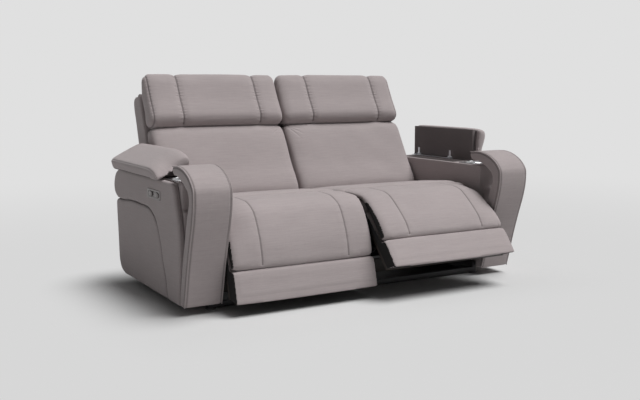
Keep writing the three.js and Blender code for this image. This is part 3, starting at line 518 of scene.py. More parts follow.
print("seat:", OUTER - INNER, "mm wide, with its top at", SEAT_TOP, "mm")

# %% [markdown]
# The cover is a separate padded strip that runs from the seam across the seat, over the nose, to the
# seam across the footrest. Its outline is drawn for the footrest's opening, bent as the real cover bends
# with it, and the two cushions under it are stepped down by its thickness. Without it the seat and the
# footrest, which move apart, would show a gap at the hinge.

# %% Outlines of seat, footrest and cover
COVER_THICK, UNDER_COVER, SEAM_DROP = 27, 5, 11
SLUMP = 24
SEAM_BACK = 330
FOOT_SEAM = 242
SEAT_UNDER = 327

seat_rear = [(0.28, 0.025), (0.303, 0.012), (0.5, 0.056), (0.75, 0.154), (0.937, 0.261),
             (0.986, 0.32), (1, 0.441), (1, 0.919), (0.979, 1)]


def seat_ring():
    """Outline of the fixed cushion: full height behind the seam, stepped down under the cover."""
    top = smooth_line(seat_line(seat_rear), 60)
    under = np.array([[690.0, SEAT_UNDER], [240.0, SEAT_UNDER]])
    nose = smooth_line(round_nose([-90, -60, -30, -12, 0, 20, 50, 90],
                                  np.array([67, 67, 66, 56, 50, 46, 42, 36])), 50)
    step = np.array([[SEAM_BACK - 4.0, SEAT_TOP - COVER_THICK - UNDER_COVER],
                     [SEAM_BACK + 4.0, SEAT_TOP - SEAM_DROP]])
    return ring_of(top, under, nose, step, count=200)


def foot_ring(opening):
    """Outline of the footrest pad: full below its seam, stepped down under the cover above it."""
    low = smooth_line(foot_line([(FOOT_SEAM + 1, 84), (FOOT_SEAM + 6, 90), (268, 93), (305, 91.5),
                                 (340, 90), (366, 88), (382, 85)], opening), 50)
    under = smooth_line(foot_line([(383, 82), (374, 62), (364, 40), (352, 19)], opening), 30)
    rest = foot_line([(72, 19), (60, 36), (52, 45), (FOOT_SEAM - 6, 50)], opening)
    return ring_of(low, under, rest, count=200)


NOSES = {"shut": ([90, 72, 54, 36, 18], [64, 61, 63, 71, 82],
                  [(45, 95), (90, 102), (140, 105), (190, 101), (FOOT_SEAM - 8, 91),
                   (FOOT_SEAM - 2, 83)]),
         "open": ([90, 74, 58, 42], [67, 67, 71, 80],
                  [(28, 89), (60, 96), (100, 103), (140, 108), (170, 109), (205, 106),
                   (FOOT_SEAM - 8, 98), (FOOT_SEAM - 2, 88)])}


def cover_ring(opening):
    """Outline of the cover strip."""
    over, radius, belly = NOSES["open" if opening else "shut"]
    outer = np.vstack([[[SEAM_BACK - 3, 457], [SEAM_BACK - 9, 461.5], [300, SEAT_TOP], [245, 461.5]],
                       round_nose(over, radius), foot_line(belly, opening)])
    outer = smooth_line(outer, 110)
    under = np.linspace(18 + opening, 90, 7)
    inner = np.vstack([foot_line([(FOOT_SEAM - 5, 53), (60, 51)], opening),
                       round_nose(under, np.interp(under, [0, 20, 50, 90], [51, 47, 43, 37])),
                       [[240, SEAT_TOP - COVER_THICK], [SEAM_BACK - 5, SEAT_TOP - COVER_THICK]]])
    return ring_of(outer, smooth_line(inner, 80), count=220)


def outer_reach(ring):
    """The outer side steps in beside the arm's scroll, as far back as the arm's front."""
    return FOOT_OUTER + (OUTER - FOOT_OUTER) * ease(246, 300, ring[:, 0])


def outer_face(piece, tilt, sharp=0.25):
    """1 where the surface looks out of the cushion, towards tilt degrees above the front, and 0 on its
    sides and underneath."""
    turn = math.radians(tilt)
    facing = normals_of(piece) @ np.array([0, -math.cos(turn), math.sin(turn)])
    return ease(sharp - 0.2, sharp + 0.2, facing)


def lengthwise(x, piece, tilt, lines, sharp=0.25):
    """Distance to seams at constant x, far off wherever the surface doesn't look outwards."""
    return off_lines(x, lines) + 60 * (1 - outer_face(piece, tilt, sharp))


for side, hand in HAND.items():
    opening = OPENING[side]
    ring = seat_ring()
    share = ease(*CROWN_FROM, ring[:, 1]) * ease(*CROWN_TO, ring[:, 0])
    seat = pad_form(f"seat_cushion_{side}_soft", ring, (INNER + 2, OUTER - 2), SEAT_EDGE, hand,
                    SEAT_CROWN, share, outer_reach(ring) - 2, small=SMALL / 2)
    evenly_meshed(seat)
    x, y, z = drawing_of(seat, hand)
    blown_up(seat, SEAT_CAP, np.clip(ease(345, 335, y) + ease(400, 360, z), 0, 1))
    finer(seat)
    lay_threads(seat, run_round(seat, ring))
    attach(seat, "body")
    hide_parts(f"seat_cushion_{side}")

    ring = foot_ring(opening)
    pad = pad_form(f"footrest_pad_{side}_soft", ring, (INNER, FOOT_OUTER), 3, hand, 3, small=1)
    evenly_meshed(pad, FINE_VOXEL, 1)
    x, y, z = drawing_of(pad, hand)
    near = from_hinge(y, z)
    firm = np.maximum(ease(255, 245, near), ease(26, 8, np.minimum(x - INNER, FOOT_OUTER - x)))
    puffed(pad, 2, np.maximum(firm, ease(352, 368, near)))
    finer_near(pad, hand, lambda x, y, z: beside(x, (INNER, FOOT_OUTER), 16)
               | (abs(from_hinge(y, z) - PAD_MIDDLE) > PAD_HALF))
    uneven(pad, 1.0, 5 + hand)
    lay_threads(pad, run_round(pad, ring))
    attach(pad, f"footrest_{side}")
    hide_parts(f"footrest_pad_{side}")

    ring = cover_ring(opening)
    cover = pad_form(f"seat_cover_{side}", ring, (INNER + 1, OUTER - 1), SEAT_EDGE, hand, SEAT_CROWN,
                     None, outer_reach(ring) - 1, small=SMALL / 2)
    evenly_meshed(cover)
    tilt = NOSE_TILT + opening / 2
    blown_up(cover, COVER_CAP, 1 - outer_face(cover, tilt, -0.3))
    finer(cover)
    seams = (INNER + SEAM_INSET, FOOT_OUTER - SEAM_INSET)
    finer_near(cover, hand, lambda x, y, z: beside(x, seams, 14)
               | (from_hinge(y, z) > 228) & (y < HINGE[0]))
    x, y, z = drawing_of(cover, hand)
    slump = SLUMP * ease(600, 735, x) * ease(255, 80, from_hinge(y, z)) * ease(330, 230, y)
    slump = slump * (0.55 + 0.45 * outer_face(cover, tilt, 0))
    middle = math.radians(tilt)
    outwards = np.array([0, -math.cos(middle), math.sin(middle)])
    move_points(cover, points_of(cover) - slump[:, None] * outwards * MM)
    x, y, z = drawing_of(cover, hand)
    run = from_hinge(y, z) * 0.7 + z
    inset = lengthwise(x, cover, tilt, seams)
    stitched(cover, [(inset, *SEAT_FURROW)], 0.5, run)
    uneven(cover, 1.2, 9 + hand)
    lay_threads(cover, run_round(cover, ring))
    way = np.array([-math.sin(middle), -math.cos(middle)]) * BLEND_LONG[side] / 2
    start, end = to_frame(0, *(HINGE - way)), to_frame(0, *(HINGE + way))
    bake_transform(cover)
    second_finish(pad, lambda x, y, z, n: (np.abs(n[:, 0]) > 0.75) | (n @ outwards < -0.5))
    second_finish(cover, lambda x, y, z, n: (z < HINGE[1] + 30)
                  & ((np.abs(n[:, 0]) > 0.8) | (n @ outwards < -0.7)))
    for piece in (seat, pad, cover):
        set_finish(piece, "upholstery")
    print("seat", side, "made of", sum(len(p.data.polygons) for p in (seat, pad, cover)), "faces")

# %% [markdown]
# ## Backs
# The back reclines about a pin under its board. Its cushion is fullest at the small of the back and
# thins towards the headrest, which hangs over its top edge. The soft pieces could be drawn upright and
# turned, but here they are drawn up the board and ahead of it, so one lean holds for all of them.

# %% The back's measures
BACK_PIVOT = np.array([848.0, 330.0])
TILT = math.radians(22.8)
BOARD_FACE = 12.3
BACK_HIGH, BACK_DEEP = 443, 161
SHELL_HIGH, SHELL_DEEP, SHELL_WRAP = 645, 144, 19
HEAD_BASE, HEAD_REAR, HEAD_HIGH, HEAD_DEEP = 417, 31, 292, 108

back_table = [(-0.045, 0.794), (0.03, 0.924), (0.117, 1), (0.25, 0.965), (0.375, 0.894), (0.52, 0.84),
              (0.666, 0.789), (0.8, 0.735), (0.867, 0.7), (0.914, 0.66), (0.95, 0.547), (0.966, 0.31)]
shell_table = [(0.985, 0.12), (1, 0.3), (0.998, 0.44), (0.985, 0.54), (0.95, 0.61), (0.8, 0.68),
               (0.63, 0.75), (0.31, 0.91), (0.15, 0.99), (0.1, 0.98), (0.065, 0.85), (0.05, 0.6)]
head_table = [(0.34, 0), (0.08, 0), (0.035, 0.35), (0.03, 0.62), (0.05, 0.83), (0.12, 0.98),
              (0.27, 0.971), (0.462, 0.887), (0.68, 0.833), (0.87, 0.79), (0.955, 0.73),
              (0.999, 0.593), (0.969, 0.37), (0.84, 0.18), (0.678, 0)]


def back_line(up, ahead):
    """Up the back board and ahead of it, from its pivot, as depth and height."""
    return np.stack([BACK_PIVOT[0] + math.sin(TILT) * up - math.cos(TILT) * ahead,
                     BACK_PIVOT[1] + math.cos(TILT) * up + math.sin(TILT) * ahead], -1)


def up_and_ahead(y, z):
    """The same the other way round: how far up the board a point is, and how far ahead of it."""
    dy, dz = y - BACK_PIVOT[0], z - BACK_PIVOT[1]
    return math.sin(TILT) * dy + math.cos(TILT) * dz, -math.cos(TILT) * dy + math.sin(TILT) * dz


def on_board(piece, hand):
    """Where each point lies on the back: across it, up its board, and ahead of the board."""
    x, y, z = drawing_of(piece, hand)
    return (x, *up_and_ahead(y, z))


def back_ring():
    """Outline of the back cushion, flat against its board."""
    up, ahead = np.array(back_table).T
    front = smooth_line(back_line(up * BACK_HIGH, ahead * BACK_DEEP), 100)
    flat = back_line(np.array([0.966, 0.062]) * BACK_HIGH, np.array([BOARD_FACE, BOARD_FACE]))
    return ring_of(front, flat, count=180)


def shell_ring():
    """Outline of the padded shell behind the board. It wraps the board's edge, as the cloth does."""
    up, behind = np.array(shell_table).T
    rear = smooth_line(back_line(up * SHELL_HIGH, -behind * SHELL_DEEP), 110)
    flat = back_line(np.array([0.037, 0.985]) * SHELL_HIGH, np.array([SHELL_WRAP, SHELL_WRAP]))
    return ring_of(rear, flat, count=180)


def head_ring():
    """Outline of the headrest cushion."""
    up, ahead = np.array(head_table).T
    line = back_line(HEAD_BASE + up * HEAD_HIGH, HEAD_REAR + ahead * HEAD_DEEP)
    return ring_of(smooth_line(line, 160, closed=True), count=180)


print("backs lean", round(math.degrees(TILT), 1), "degrees, about a pin at", BACK_PIVOT.tolist())

# %% [markdown]
# The cloth is gathered at the top corners of each back, where the headrest presses on it, so a few
# creases fan out from there. Finer cloth could fold by itself, but slowly, and not just where creases
# belong. So they are furrows along rays from the corner, and fade with distance.

# %% Backs, shells and headrests
BACK_EDGE, BACK_CROWN, BACK_CAP = 24, 9, 9
SHELL_EDGE, SHELL_CROWN = 9, 5
HEAD_EDGE, HEAD_CROWN, HEAD_CAP = 27, 7, 9
HEAD_SEAMS = {"left": (143, 573), "right": (176, 603)}
SHELL_HEM, HEAD_HEM = 12, 15
SHELL_HEM_FURROW = (1.8, 3.0, 0.4, 9)
HEAD_FURROW, HEAD_HEM_FURROW = (4.5, 4.0, 6.0, 20), (2.8, 3.2, 1.0, 9)
CORNER_UP, CREASE_LONG, CREASE_DEEP = 412, 120, 3.0
OUTER_RAYS, INNER_RAYS = (196, 212, 229, 250), (-16, -33, -52)


def fan_creases(x, up, corner, angles, reach):
    """Depth of creases that fan out from a corner: a bell across each ray, which fades to nothing at
    reach."""
    dx, du = x - corner[0], up - corner[1]
    far = np.hypot(dx, du)
    heading = np.degrees(np.arctan2(du, dx))
    depth = sum(bell((heading - angle) * np.radians(1) * far, 5.0) for angle in angles)
    return depth * ease(reach, reach * 0.25, far) * ease(6, 22, far)


for side, hand in HAND.items():
    back = pad_form(f"back_cushion_{side}_soft", back_ring(), (INNER + 1, OUTER - 1), BACK_EDGE, hand,
                    BACK_CROWN, small=SMALL)
    evenly_meshed(back)
    x, up, ahead = on_board(back, hand)
    blown_up(back, BACK_CAP, ease(45, 25, ahead))
    finer(back)
    finer_near(back, hand, lambda x, y, z: beside(x, (INNER, OUTER), 135) & (up_and_ahead(y, z)[0] > 280)
               & (up_and_ahead(y, z)[1] > 40))
    x, up, ahead = on_board(back, hand)
    corners = [((OUTER - 6, CORNER_UP), OUTER_RAYS), ((INNER + 6, CORNER_UP), INNER_RAYS)]
    creases = sum(fan_creases(x, up, at, rays, CREASE_LONG) for at, rays in corners)
    puffed(back, -CREASE_DEEP * creases * ease(40, 70, ahead))
    uneven(back, 2.2, 21 + hand)
    lay_threads(back, up)
    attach(back, f"back_{side}")
    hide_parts(f"back_cushion_{side}")

    shell = pad_form(f"back_shell_{side}_soft", shell_ring(), (INNER, OUTER + 3), SHELL_EDGE, hand,
                     SHELL_CROWN, small=1)
    evenly_meshed(shell, SHELL_VOXEL)
    hems = (INNER + SHELL_HEM, OUTER - SHELL_HEM)
    finer_near(shell, hand, lambda x, y, z: beside(x, hems, 14))
    x, up, ahead = on_board(shell, hand)
    hem = off_lines(x, hems) + 40 * (1 - ease(-18, -34, ahead))
    stitched(shell, [(hem, *SHELL_HEM_FURROW)])
    uneven(shell, 1.0, 31 + hand)
    lay_threads(shell, up)
    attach(shell, f"back_{side}")
    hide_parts(f"back_shell_{side}")

    head = pad_form(f"headrest_{side}_soft", head_ring(), (INNER + 1, OUTER - 1), HEAD_EDGE, hand,
                    HEAD_CROWN, small=SMALL)
    evenly_meshed(head)
    x, up, ahead = on_board(head, hand)
    blown_up(head, HEAD_CAP, ease(HEAD_REAR + 16, HEAD_REAR + 2, ahead) * 0.9)
    finer(head)
    finer_near(head, hand, lambda x, y, z: beside(x, (*HEAD_SEAMS[side], OUTER - HEAD_HEM), 20))
    x, up, ahead = on_board(head, hand)
    seam = lengthwise(x, head, 40, HEAD_SEAMS[side], -0.2)
    hem = np.abs(OUTER - x - HEAD_HEM) + 40 * (1 - ease(HEAD_REAR + 4, HEAD_REAR + 18, ahead))
    stitched(head, [(seam, *HEAD_FURROW), (hem, *HEAD_HEM_FURROW)], 0.9, up)
    uneven(head, 2.0, 41 + hand)
    lay_threads(head, run_round(head, head_ring()))
    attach(head, f"headrest_{side}")
    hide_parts(f"headrest_pad_{side}")
    for piece in (back, shell, head):
        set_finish(piece, "upholstery")
    print("back", side, "made of", sum(len(p.data.polygons) for p in (back, shell, head)), "faces")

# %% [markdown]
# ## Arms
# Each arm is a timber box covered in fabric, with a padded band and a lower panel on its outer side, a
# bent padded scroll at its front, and a lid. The band and the panel meet in a sewn line that sweeps
# from the rear down to the foot. One slab with a groove would do from far off, but as two pieces each
# keeps its own swell, and the line between them is a real one.

# %% The arm's measures
ARM_TOP, ARM_UNDER, ARM_FRONT = 560, 38, 185
ARM_IN, BOX_OUT, ARM_OUT, SCROLL_IN = 750, 868, 893, 718
ARM_LONG = 1054
SCROLL_LONG, SCROLL_HIGH = 232, 634
BOX_WALL, STORE_FLOOR = 15, 330
STORE_FRONT, STORE_REAR = 425, 905

seam_table = [(0.953, 0.734), (0.88, 0.733), (0.767, 0.75), (0.627, 0.75), (0.495, 0.73),
              (0.423, 0.652), (0.38, 0.52), (0.349, 0.352), (0.318, 0.21), (0.3, 0.068)]
band_table = [(0.169, 0.068), (0.171, 0.768), (0.19, 0.86), (0.203, 0.945), (0.216, 0.985),
              (0.24, 0.993), (0.27, 0.994), (0.4, 0.994), (0.56, 0.994), (0.72, 0.994), (0.85, 0.994),
              (0.882, 0.992), (0.935, 0.982), (0.972, 0.948), (0.992, 0.895), (0.999, 0.84),
              (0.99, 0.775)]
panel_table = [(0.8, 0.068), (0.9, 0.08), (0.93, 0.105), (0.948, 0.148), (0.963, 0.357), (0.976, 0.705)]
box_table = [(0.8, 0.068), (0.9, 0.09), (0.938, 0.155), (0.956, 0.357), (0.966, 0.705), (0.977, 0.8),
             (0.977, 0.89), (0.945, 0.97), (0.878, 1)]
scroll_front = [(1, 0.994), (0.69, 1), (0.388, 0.976), (0.138, 0.923), (0.009, 0.86), (0, 0.812),
                (0.012, 0.745), (0.06, 0.662), (0.2, 0.502), (0.362, 0.3), (0.455, 0.16), (0.53, 0.06)]
scroll_rear = [(0.767, 0.06), (0.694, 0.177), (0.608, 0.319), (0.44, 0.528), (0.306, 0.692),
               (0.224, 0.773), (0.216, 0.804), (0.276, 0.844), (0.418, 0.883), (0.608, 0.915),
               (1, 0.946)]
WELT, WELT_IN = 2.2, 3.0
BAND_STAND, PANEL_SET_IN = 0.3, 3
BAND_FURROW, SCROLL_FURROW, LID_FURROW = (0.0, 5.0, 1.5, 14), (1.2, 2.6, 0.0, 8), (1.4, 2.6, 0.6, 9)
SCROLL_HEM = 10


def arm_line(table):
    """Shares of the arm's length and height as depth and height."""
    return np.asarray(table, float) * [ARM_LONG, ARM_TOP]


def face_form(name, ring, ends, edge, hand):
    """A padded panel: flat behind, with a rounded edge on its outer face only."""
    near, far = ends
    step, inset = end_turns(edge)
    x = np.r_[near, (far - step)[::-1]]
    draw_in = np.r_[0.0, inset[::-1]]
    return grid_piece(name, across(ring, hand * np.repeat(x[:, None], len(ring), 1), draw_in))


def distance_to(piece, line):
    """Distance in millimetres from each point to a line of frame points."""
    return nearest_on(points_of(piece), line)[0] / MM


def tube(name, line, radius):
    """A round cord of stitching along a line: at each point a ring stands square to the way the line
    runs, turned about the width of the sofa."""
    first = np.broadcast_to([1.0, 0, 0], line.shape)
    second = np.cross(way_of(line), first)
    second /= np.linalg.norm(second, axis=1)[:, None]
    turn = np.linspace(0, 2 * np.pi, 10, endpoint=False)
    ring = first[:, None] * np.cos(turn)[:, None] + second[:, None] * np.sin(turn)[:, None]
    return grid_piece(name, line[:, None] + ring * radius * MM)


for side, hand in HAND.items():
    seam = smooth_line(arm_line(seam_table), 80)
    outline = ring_of(smooth_line(arm_line(band_table), 120), seam, count=320)
    band = face_form(f"arm_band_{side}_soft", outline, (BOX_OUT + BAND_STAND, ARM_OUT), 9, hand)
    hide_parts(f"arm_side_band_{side}")
    lower = seam + [3.0, -3.0]
    lower[-1, 1] = arm_line(panel_table)[0, 1]
    outline = ring_of(lower, smooth_line(arm_line(panel_table), 60), count=260)
    panel = face_form(f"arm_panel_{side}_soft", outline,
                      (BOX_OUT + BAND_STAND, ARM_OUT - PANEL_SET_IN), 9, hand)
    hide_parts(f"arm_side_panel_{side}")
    for piece in (band, panel):
        evenly_meshed(piece, FINE_VOXEL, 3)
        x, y, z = drawing_of(piece, hand)
        puffed(piece, 3, ease(BOX_OUT + 16, BOX_OUT + 8, x))
        finer(piece)
        uneven(piece, 1.2, 51 + hand)
        line = to_frame(hand * (ARM_OUT - 4), *(seam + ([0, 0] if piece == band else [3, -3])).T)
        inner_side = ease(14, 2, drawing_of(piece, hand)[0] - BOX_OUT)
        stitched(piece, [(distance_to(piece, line) + 30 * inner_side, *BAND_FURROW)])
        lay_threads(piece, drawing_of(piece)[2], 1)

    second_finish(band, lambda x, y, z, n: (z > ARM_TOP - 12) & (x < ARM_OUT - 4)
                  & (y > STORE_FRONT - 25))

    front = smooth_line(np.array(scroll_front) * [SCROLL_LONG, SCROLL_HIGH], 110)
    rear = smooth_line(np.array(scroll_rear) * [SCROLL_LONG, SCROLL_HIGH], 110)
    ring = ring_of(front, rear, count=240)
    scroll = pad_form(f"arm_scroll_{side}_soft", ring, (SCROLL_IN + 1, ARM_OUT - 1), 8, hand, 0,
                      count=9, small=2)
    evenly_meshed(scroll, FINE_VOXEL, 3)
    puffed(scroll, 2)
    finer(scroll)
    edges = [to_frame(hand * at, front[:, 0], front[:, 1]) for at in (SCROLL_IN, ARM_OUT)]
    hem = np.min([distance_to(scroll, edge) for edge in edges], axis=0)
    run = run_round(scroll, ring)
    stitched(scroll, [(np.abs(hem - SCROLL_HEM), *SCROLL_FURROW)], 0.3, run)
    lay_threads(scroll, run)
    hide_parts(f"arm_scroll_{side}")
    way = way_of(front)
    inside = front + np.stack([-way[:, 1], way[:, 0]], -1) * WELT_IN
    welts = [tube(f"scroll_welt_{side}_{edge}", to_frame(hand * at, *inside.T), WELT)
             for edge, at in (("inner", SCROLL_IN + WELT_IN), ("outer", ARM_OUT - WELT_IN))]
    for piece in (band, panel, scroll, *welts):
        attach(piece, "body")
        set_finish(piece, "upholstery")
    print("arm", side, "padded")

# %% [markdown]
# The arm's box has a compartment behind and a cup well in front. Boxes and posts are cut out of its
# side outline, and the whole is remeshed, which gives every edge the small round of stretched cloth.

# %% Arm boxes
PANEL_FACE, PANEL_TOP, PANEL_STEP = 165, 443, 104
CUP_RADIUS, CUP_DEEP, CUP_AT = 43, 70, (817, 311)


def plate_form(name, outline, x0, x1, hand):
    """A side outline as a plain plate between two x places."""
    return grid_piece(name, np.stack([to_frame(hand * x, *outline.T) for x in (x0, x1)]))


def post_form(name, centre, radius, z, hand):
    """An upright post: one ring of points at each height."""
    turn = np.linspace(0, 2 * np.pi, 48, endpoint=False)
    x, y = hand * centre[0] + radius * np.cos(turn), centre[1] + radius * np.sin(turn)
    return grid_piece(name, np.stack([to_frame(x, y, height) for height in z]))


def combined(piece, other, operation):
    """Cuts the other piece out of this one, or joins it on, and removes the other."""
    change = piece.modifiers.new("change", "BOOLEAN")
    change.operation, change.object, change.solver = operation, other, "EXACT"
    applied(piece)
    bpy.data.objects.remove(other)
    return piece


def rectangle(low, high):
    """Four corners of an upright rectangle from its lowest and highest depth and height."""
    return np.array([[low[0], low[1]], [high[0], low[1]], [high[0], high[1]], [low[0], high[1]]], float)


def rounded_box(half_x, half_y, radius, count=96):
    """A rectangle with round corners: a circle of the corner's radius round each corner point."""
    turn = np.linspace(0, 2 * np.pi, count, endpoint=False)
    x, y = np.cos(turn), np.sin(turn)
    reach = 1 / np.maximum(np.abs(x) / half_x, np.abs(y) / half_y)
    square = np.stack([x * reach, y * reach], -1)
    core = np.clip(square, [radius - half_x, radius - half_y], [half_x - radius, half_y - radius])
    beyond = square - core
    long = np.maximum(np.linalg.norm(beyond, axis=1), 1e-9)[:, None]
    return np.where(long > 1e-6, core + beyond / long * radius, square)


def level_ring(ring, height, hand):
    """A ring seen from above, across and back, laid at one height."""
    return to_frame(hand * ring[:, 0], ring[:, 1], height)


for side, hand in HAND.items():
    outline = np.vstack([[[ARM_FRONT, ARM_UNDER]], arm_line(box_table), [[ARM_FRONT, ARM_TOP]]])
    box = plate_form(f"arm_box_{side}_soft", ring_of(outline, count=300), ARM_IN, BOX_OUT, hand)
    front = np.array([[ARM_FRONT + 1, ARM_UNDER], [ARM_FRONT + 1, PANEL_TOP], [PANEL_FACE, PANEL_TOP],
                      [PANEL_FACE, PANEL_STEP], [179, ARM_UNDER]], float)
    combined(box, plate_form("panel", front, ARM_IN + 3, BOX_OUT, hand), "UNION")
    store = rectangle((STORE_FRONT, STORE_FLOOR), (STORE_REAR, ARM_TOP + 30))
    combined(box, plate_form("store", store, ARM_IN + BOX_WALL, BOX_OUT - BOX_WALL, hand), "DIFFERENCE")
    well = post_form("well", CUP_AT, CUP_RADIUS + 3, (ARM_TOP - CUP_DEEP - 3, ARM_TOP + 30), hand)
    combined(box, well, "DIFFERENCE")
    evenly_meshed(box, FINE_VOXEL, 5)
    uneven(box, 0.8, 61 + hand)
    lay_threads(box, drawing_of(box)[2], 1)
    second_finish(box, lambda x, y, z, n: (x > BOX_OUT - BOX_WALL - 4) & (z > ARM_TOP - 7)
                  & (y > STORE_FRONT - 6) & (y < STORE_REAR + 12))
    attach(box, "body")
    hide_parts(f"arm_box_{side}")
    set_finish(box, "upholstery")

    middle = ((ARM_IN + BOX_OUT) / 2, (STORE_FRONT + STORE_REAR) / 2)
    half = ((BOX_OUT - ARM_IN) / 2 - BOX_WALL - 0.6, (STORE_REAR - STORE_FRONT) / 2 - 0.6)
    levels = [(0.0, STORE_FLOOR + 0.6, 8), (0.0, ARM_TOP - 2, 8), (2.5, ARM_TOP - 2, 6),
              (2.5, STORE_FLOOR + 3, 6)]
    rings = [level_ring(rounded_box(half[0] - inset, half[1] - inset, radius) + middle, height, hand)
             for inset, height, radius in levels]
    tub = grid_piece(f"console_lining_{side}", np.stack(rings))
    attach(tub, "body")
    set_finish(tub, "lining")
    print("arm box", side, "made of", len(box.data.polygons), "faces")

# %% [markdown]
# A polished tray sits in each arm between scroll and lid. A plate and a cup could be joined by a
# boolean, but the rim's round would be lost. So it is one surface of rings: up the well's inside, over
# a raised rim, out across the plate to its rounded outline, and back underneath.

# %% Cup holders
PLATE_X, PLATE_Y = (760, 869), (252, 374)
PLATE_THICK, PLATE_ROUND, RIM = 3, 9, 4.5
TRAY_FLOOR, TRAY_TOP = ARM_TOP - CUP_DEEP, ARM_TOP + 0.3 + PLATE_THICK

well_inside = [(10, TRAY_FLOOR), (CUP_RADIUS - 8, TRAY_FLOOR), (CUP_RADIUS - 2.5, TRAY_FLOOR + 2.5),
               (CUP_RADIUS, TRAY_FLOOR + 8), (CUP_RADIUS, TRAY_TOP + 1.5),
               (CUP_RADIUS + 0.8, TRAY_TOP + 2.7), (CUP_RADIUS + 2.2, TRAY_TOP + 3),
               (CUP_RADIUS + 3.7, TRAY_TOP + 2.4), (CUP_RADIUS + RIM, TRAY_TOP + 0.8),
               (CUP_RADIUS + RIM + 1, TRAY_TOP)]
plate_edge = [(1.0, TRAY_TOP), (0.3, TRAY_TOP - 0.3), (0.0, TRAY_TOP - 1.0),
              (0.0, TRAY_TOP - PLATE_THICK)]
well_outside = [(CUP_RADIUS + 1.5, TRAY_TOP - PLATE_THICK), (CUP_RADIUS + 1.5, TRAY_FLOOR - 1.5),
                (10, TRAY_FLOOR - 1.5)]


def cup_rings(places, hand):
    """Level circles about the cup's middle, one for each radius and height."""
    turn = np.linspace(0, 2 * np.pi, 96, endpoint=False)
    circle = np.stack([np.cos(turn), np.sin(turn)], -1)
    return [level_ring(CUP_AT + radius * circle, height, hand) for radius, height in places]


for side, hand in HAND.items():
    low, high = np.array([PLATE_X, PLATE_Y]).T
    centre, half = (low + high) / 2, (high - low) / 2
    edge = [level_ring(rounded_box(*(half - inset), PLATE_ROUND - inset) + centre, height, hand)
            for inset, height in plate_edge]
    rings = cup_rings(well_inside, hand) + edge + cup_rings(well_outside, hand)
    tray = grid_piece(f"cup_tray_{side}", np.stack(rings))
    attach(tray, "body")
    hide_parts(f"cup_holder_{side}")
    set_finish(tray, "polished")
    print("cup tray", side, "made of", len(tray.data.polygons), "faces")

# %% [markdown]
# The lid's pad is a pillow with a long rolled nose. Its section across the arm changes from full to low
# over that nose, so the form is a blend of two tables, carried along the depth.

# %% Lid pads
LID_IN, LID_WIDE, LID_HIGH = 748, 182, 117
LID_FRONT, LID_REAR = 391, 966
NOSE_REACH, TAIL_REACH, TAIL_SHARE = {"left": 135, "right": 165}, 26, 0.3
LID_HINGE = np.array([908.0, 566.0])
LID_OPEN = {"left": 0, "right": 90}
TIP_RISE = {"left": 1.0, "right": 0.4}
NOSE_AHEAD = {"left": (14, 48), "right": (-14, -12)}
FOLD = 80

lid_table = [(0, 0.182), (-0.02, 0.34), (-0.015, 0.7), (0.05, 0.945), (0.15, 1.03), (0.29, 0.985),
             (0.45, 0.87), (0.626, 0.73), (0.808, 0.57), (0.93, 0.46), (0.995, 0.395), (1.005, 0.31),
             (0.985, 0.18), (0.958, 0.06), (0.935, -0.01), (0.91, -0.015), (0.89, 0), (0.89, 0.182)]
tip_table = [(0.06, 0.6), (0.05, 0.64), (0.06, 0.7), (0.09, 0.73), (0.16, 0.74), (0.29, 0.67),
             (0.45, 0.51), (0.626, 0.33), (0.808, 0.16), (0.9, 0.09), (0.945, 0.06), (0.96, 0.045),
             (0.962, 0.035), (0.955, 0.02), (0.94, 0.01), (0.92, 0.01), (0.88, 0.02), (0.5, 0.3)]


def swung(side, x, y, z):
    """Points of the lid as drawn shut, turned about its hinge by the angle that it stands open."""
    swing = math.radians(LID_OPEN[side])
    dx, dz = x - LID_HINGE[0], z - LID_HINGE[1]
    across_x = LID_HINGE[0] + dx * math.cos(swing) + dz * math.sin(swing)
    return to_frame(HAND[side] * across_x, y, LID_HINGE[1] - dx * math.sin(swing) + dz * math.cos(swing))


def section_of(table, count):
    """One section across the arm, cut so that point k of any table lies on the same part of the lid:
    each stretch between two of the table's points gets the same number of steps."""
    corners = np.array(table) * [LID_WIDE, LID_HIGH] + [LID_IN, ARM_TOP]
    corners = np.vstack([corners, corners[:1]])
    at = np.linspace(0, len(table), count, endpoint=False)
    line = np.stack([np.interp(at, np.arange(len(table) + 1), corners[:, k]) for k in range(2)], -1)
    for _ in range(3):
        line = (np.roll(line, 1, axis=0) + 2 * line + np.roll(line, -1, axis=0)) / 4
    return line


def lid_points(side, count=144):
    """The lid pad as drawn shut: x, y and z of a grid from nose to tail. Between the two tables a
    section is low at a share of one less the sine of the turn, and that share drops faster at the
    outer lip. NOSE_AHEAD says how far the nose's end runs forward, on its inner and its outer side."""
    turn = np.linspace(0, np.pi / 2, 18)
    nose = LID_FRONT + NOSE_REACH[side] * (1 - np.cos(turn))
    tail = LID_REAR - TAIL_REACH * (1 - np.cos(turn[::-1]))
    middle = np.linspace(nose[-1], tail[0], 24)[1:-1]
    low = np.r_[1 - np.sin(turn), np.zeros(len(middle)), TAIL_SHARE * (1 - np.sin(turn[::-1]))][:, None]
    ahead = np.r_[1 - np.sin(turn), np.zeros(len(middle) + len(turn))][:, None]
    full, tip = section_of(lid_table, count), section_of(tip_table, count)
    tip[:, 1] = ARM_TOP + (tip[:, 1] - ARM_TOP) * TIP_RISE[side]
    outer = ease(0.5, 1, (full[:, 0] - LID_IN) / LID_WIDE)
    section = full[None] + (tip - full)[None] * (low ** (1 + outer))[..., None]
    inside, outside = NOSE_AHEAD[side]
    y = np.r_[nose, middle, tail][:, None] - ahead * (inside + (outside - inside) * outer)
    return section[..., 0], y, section[..., 1]


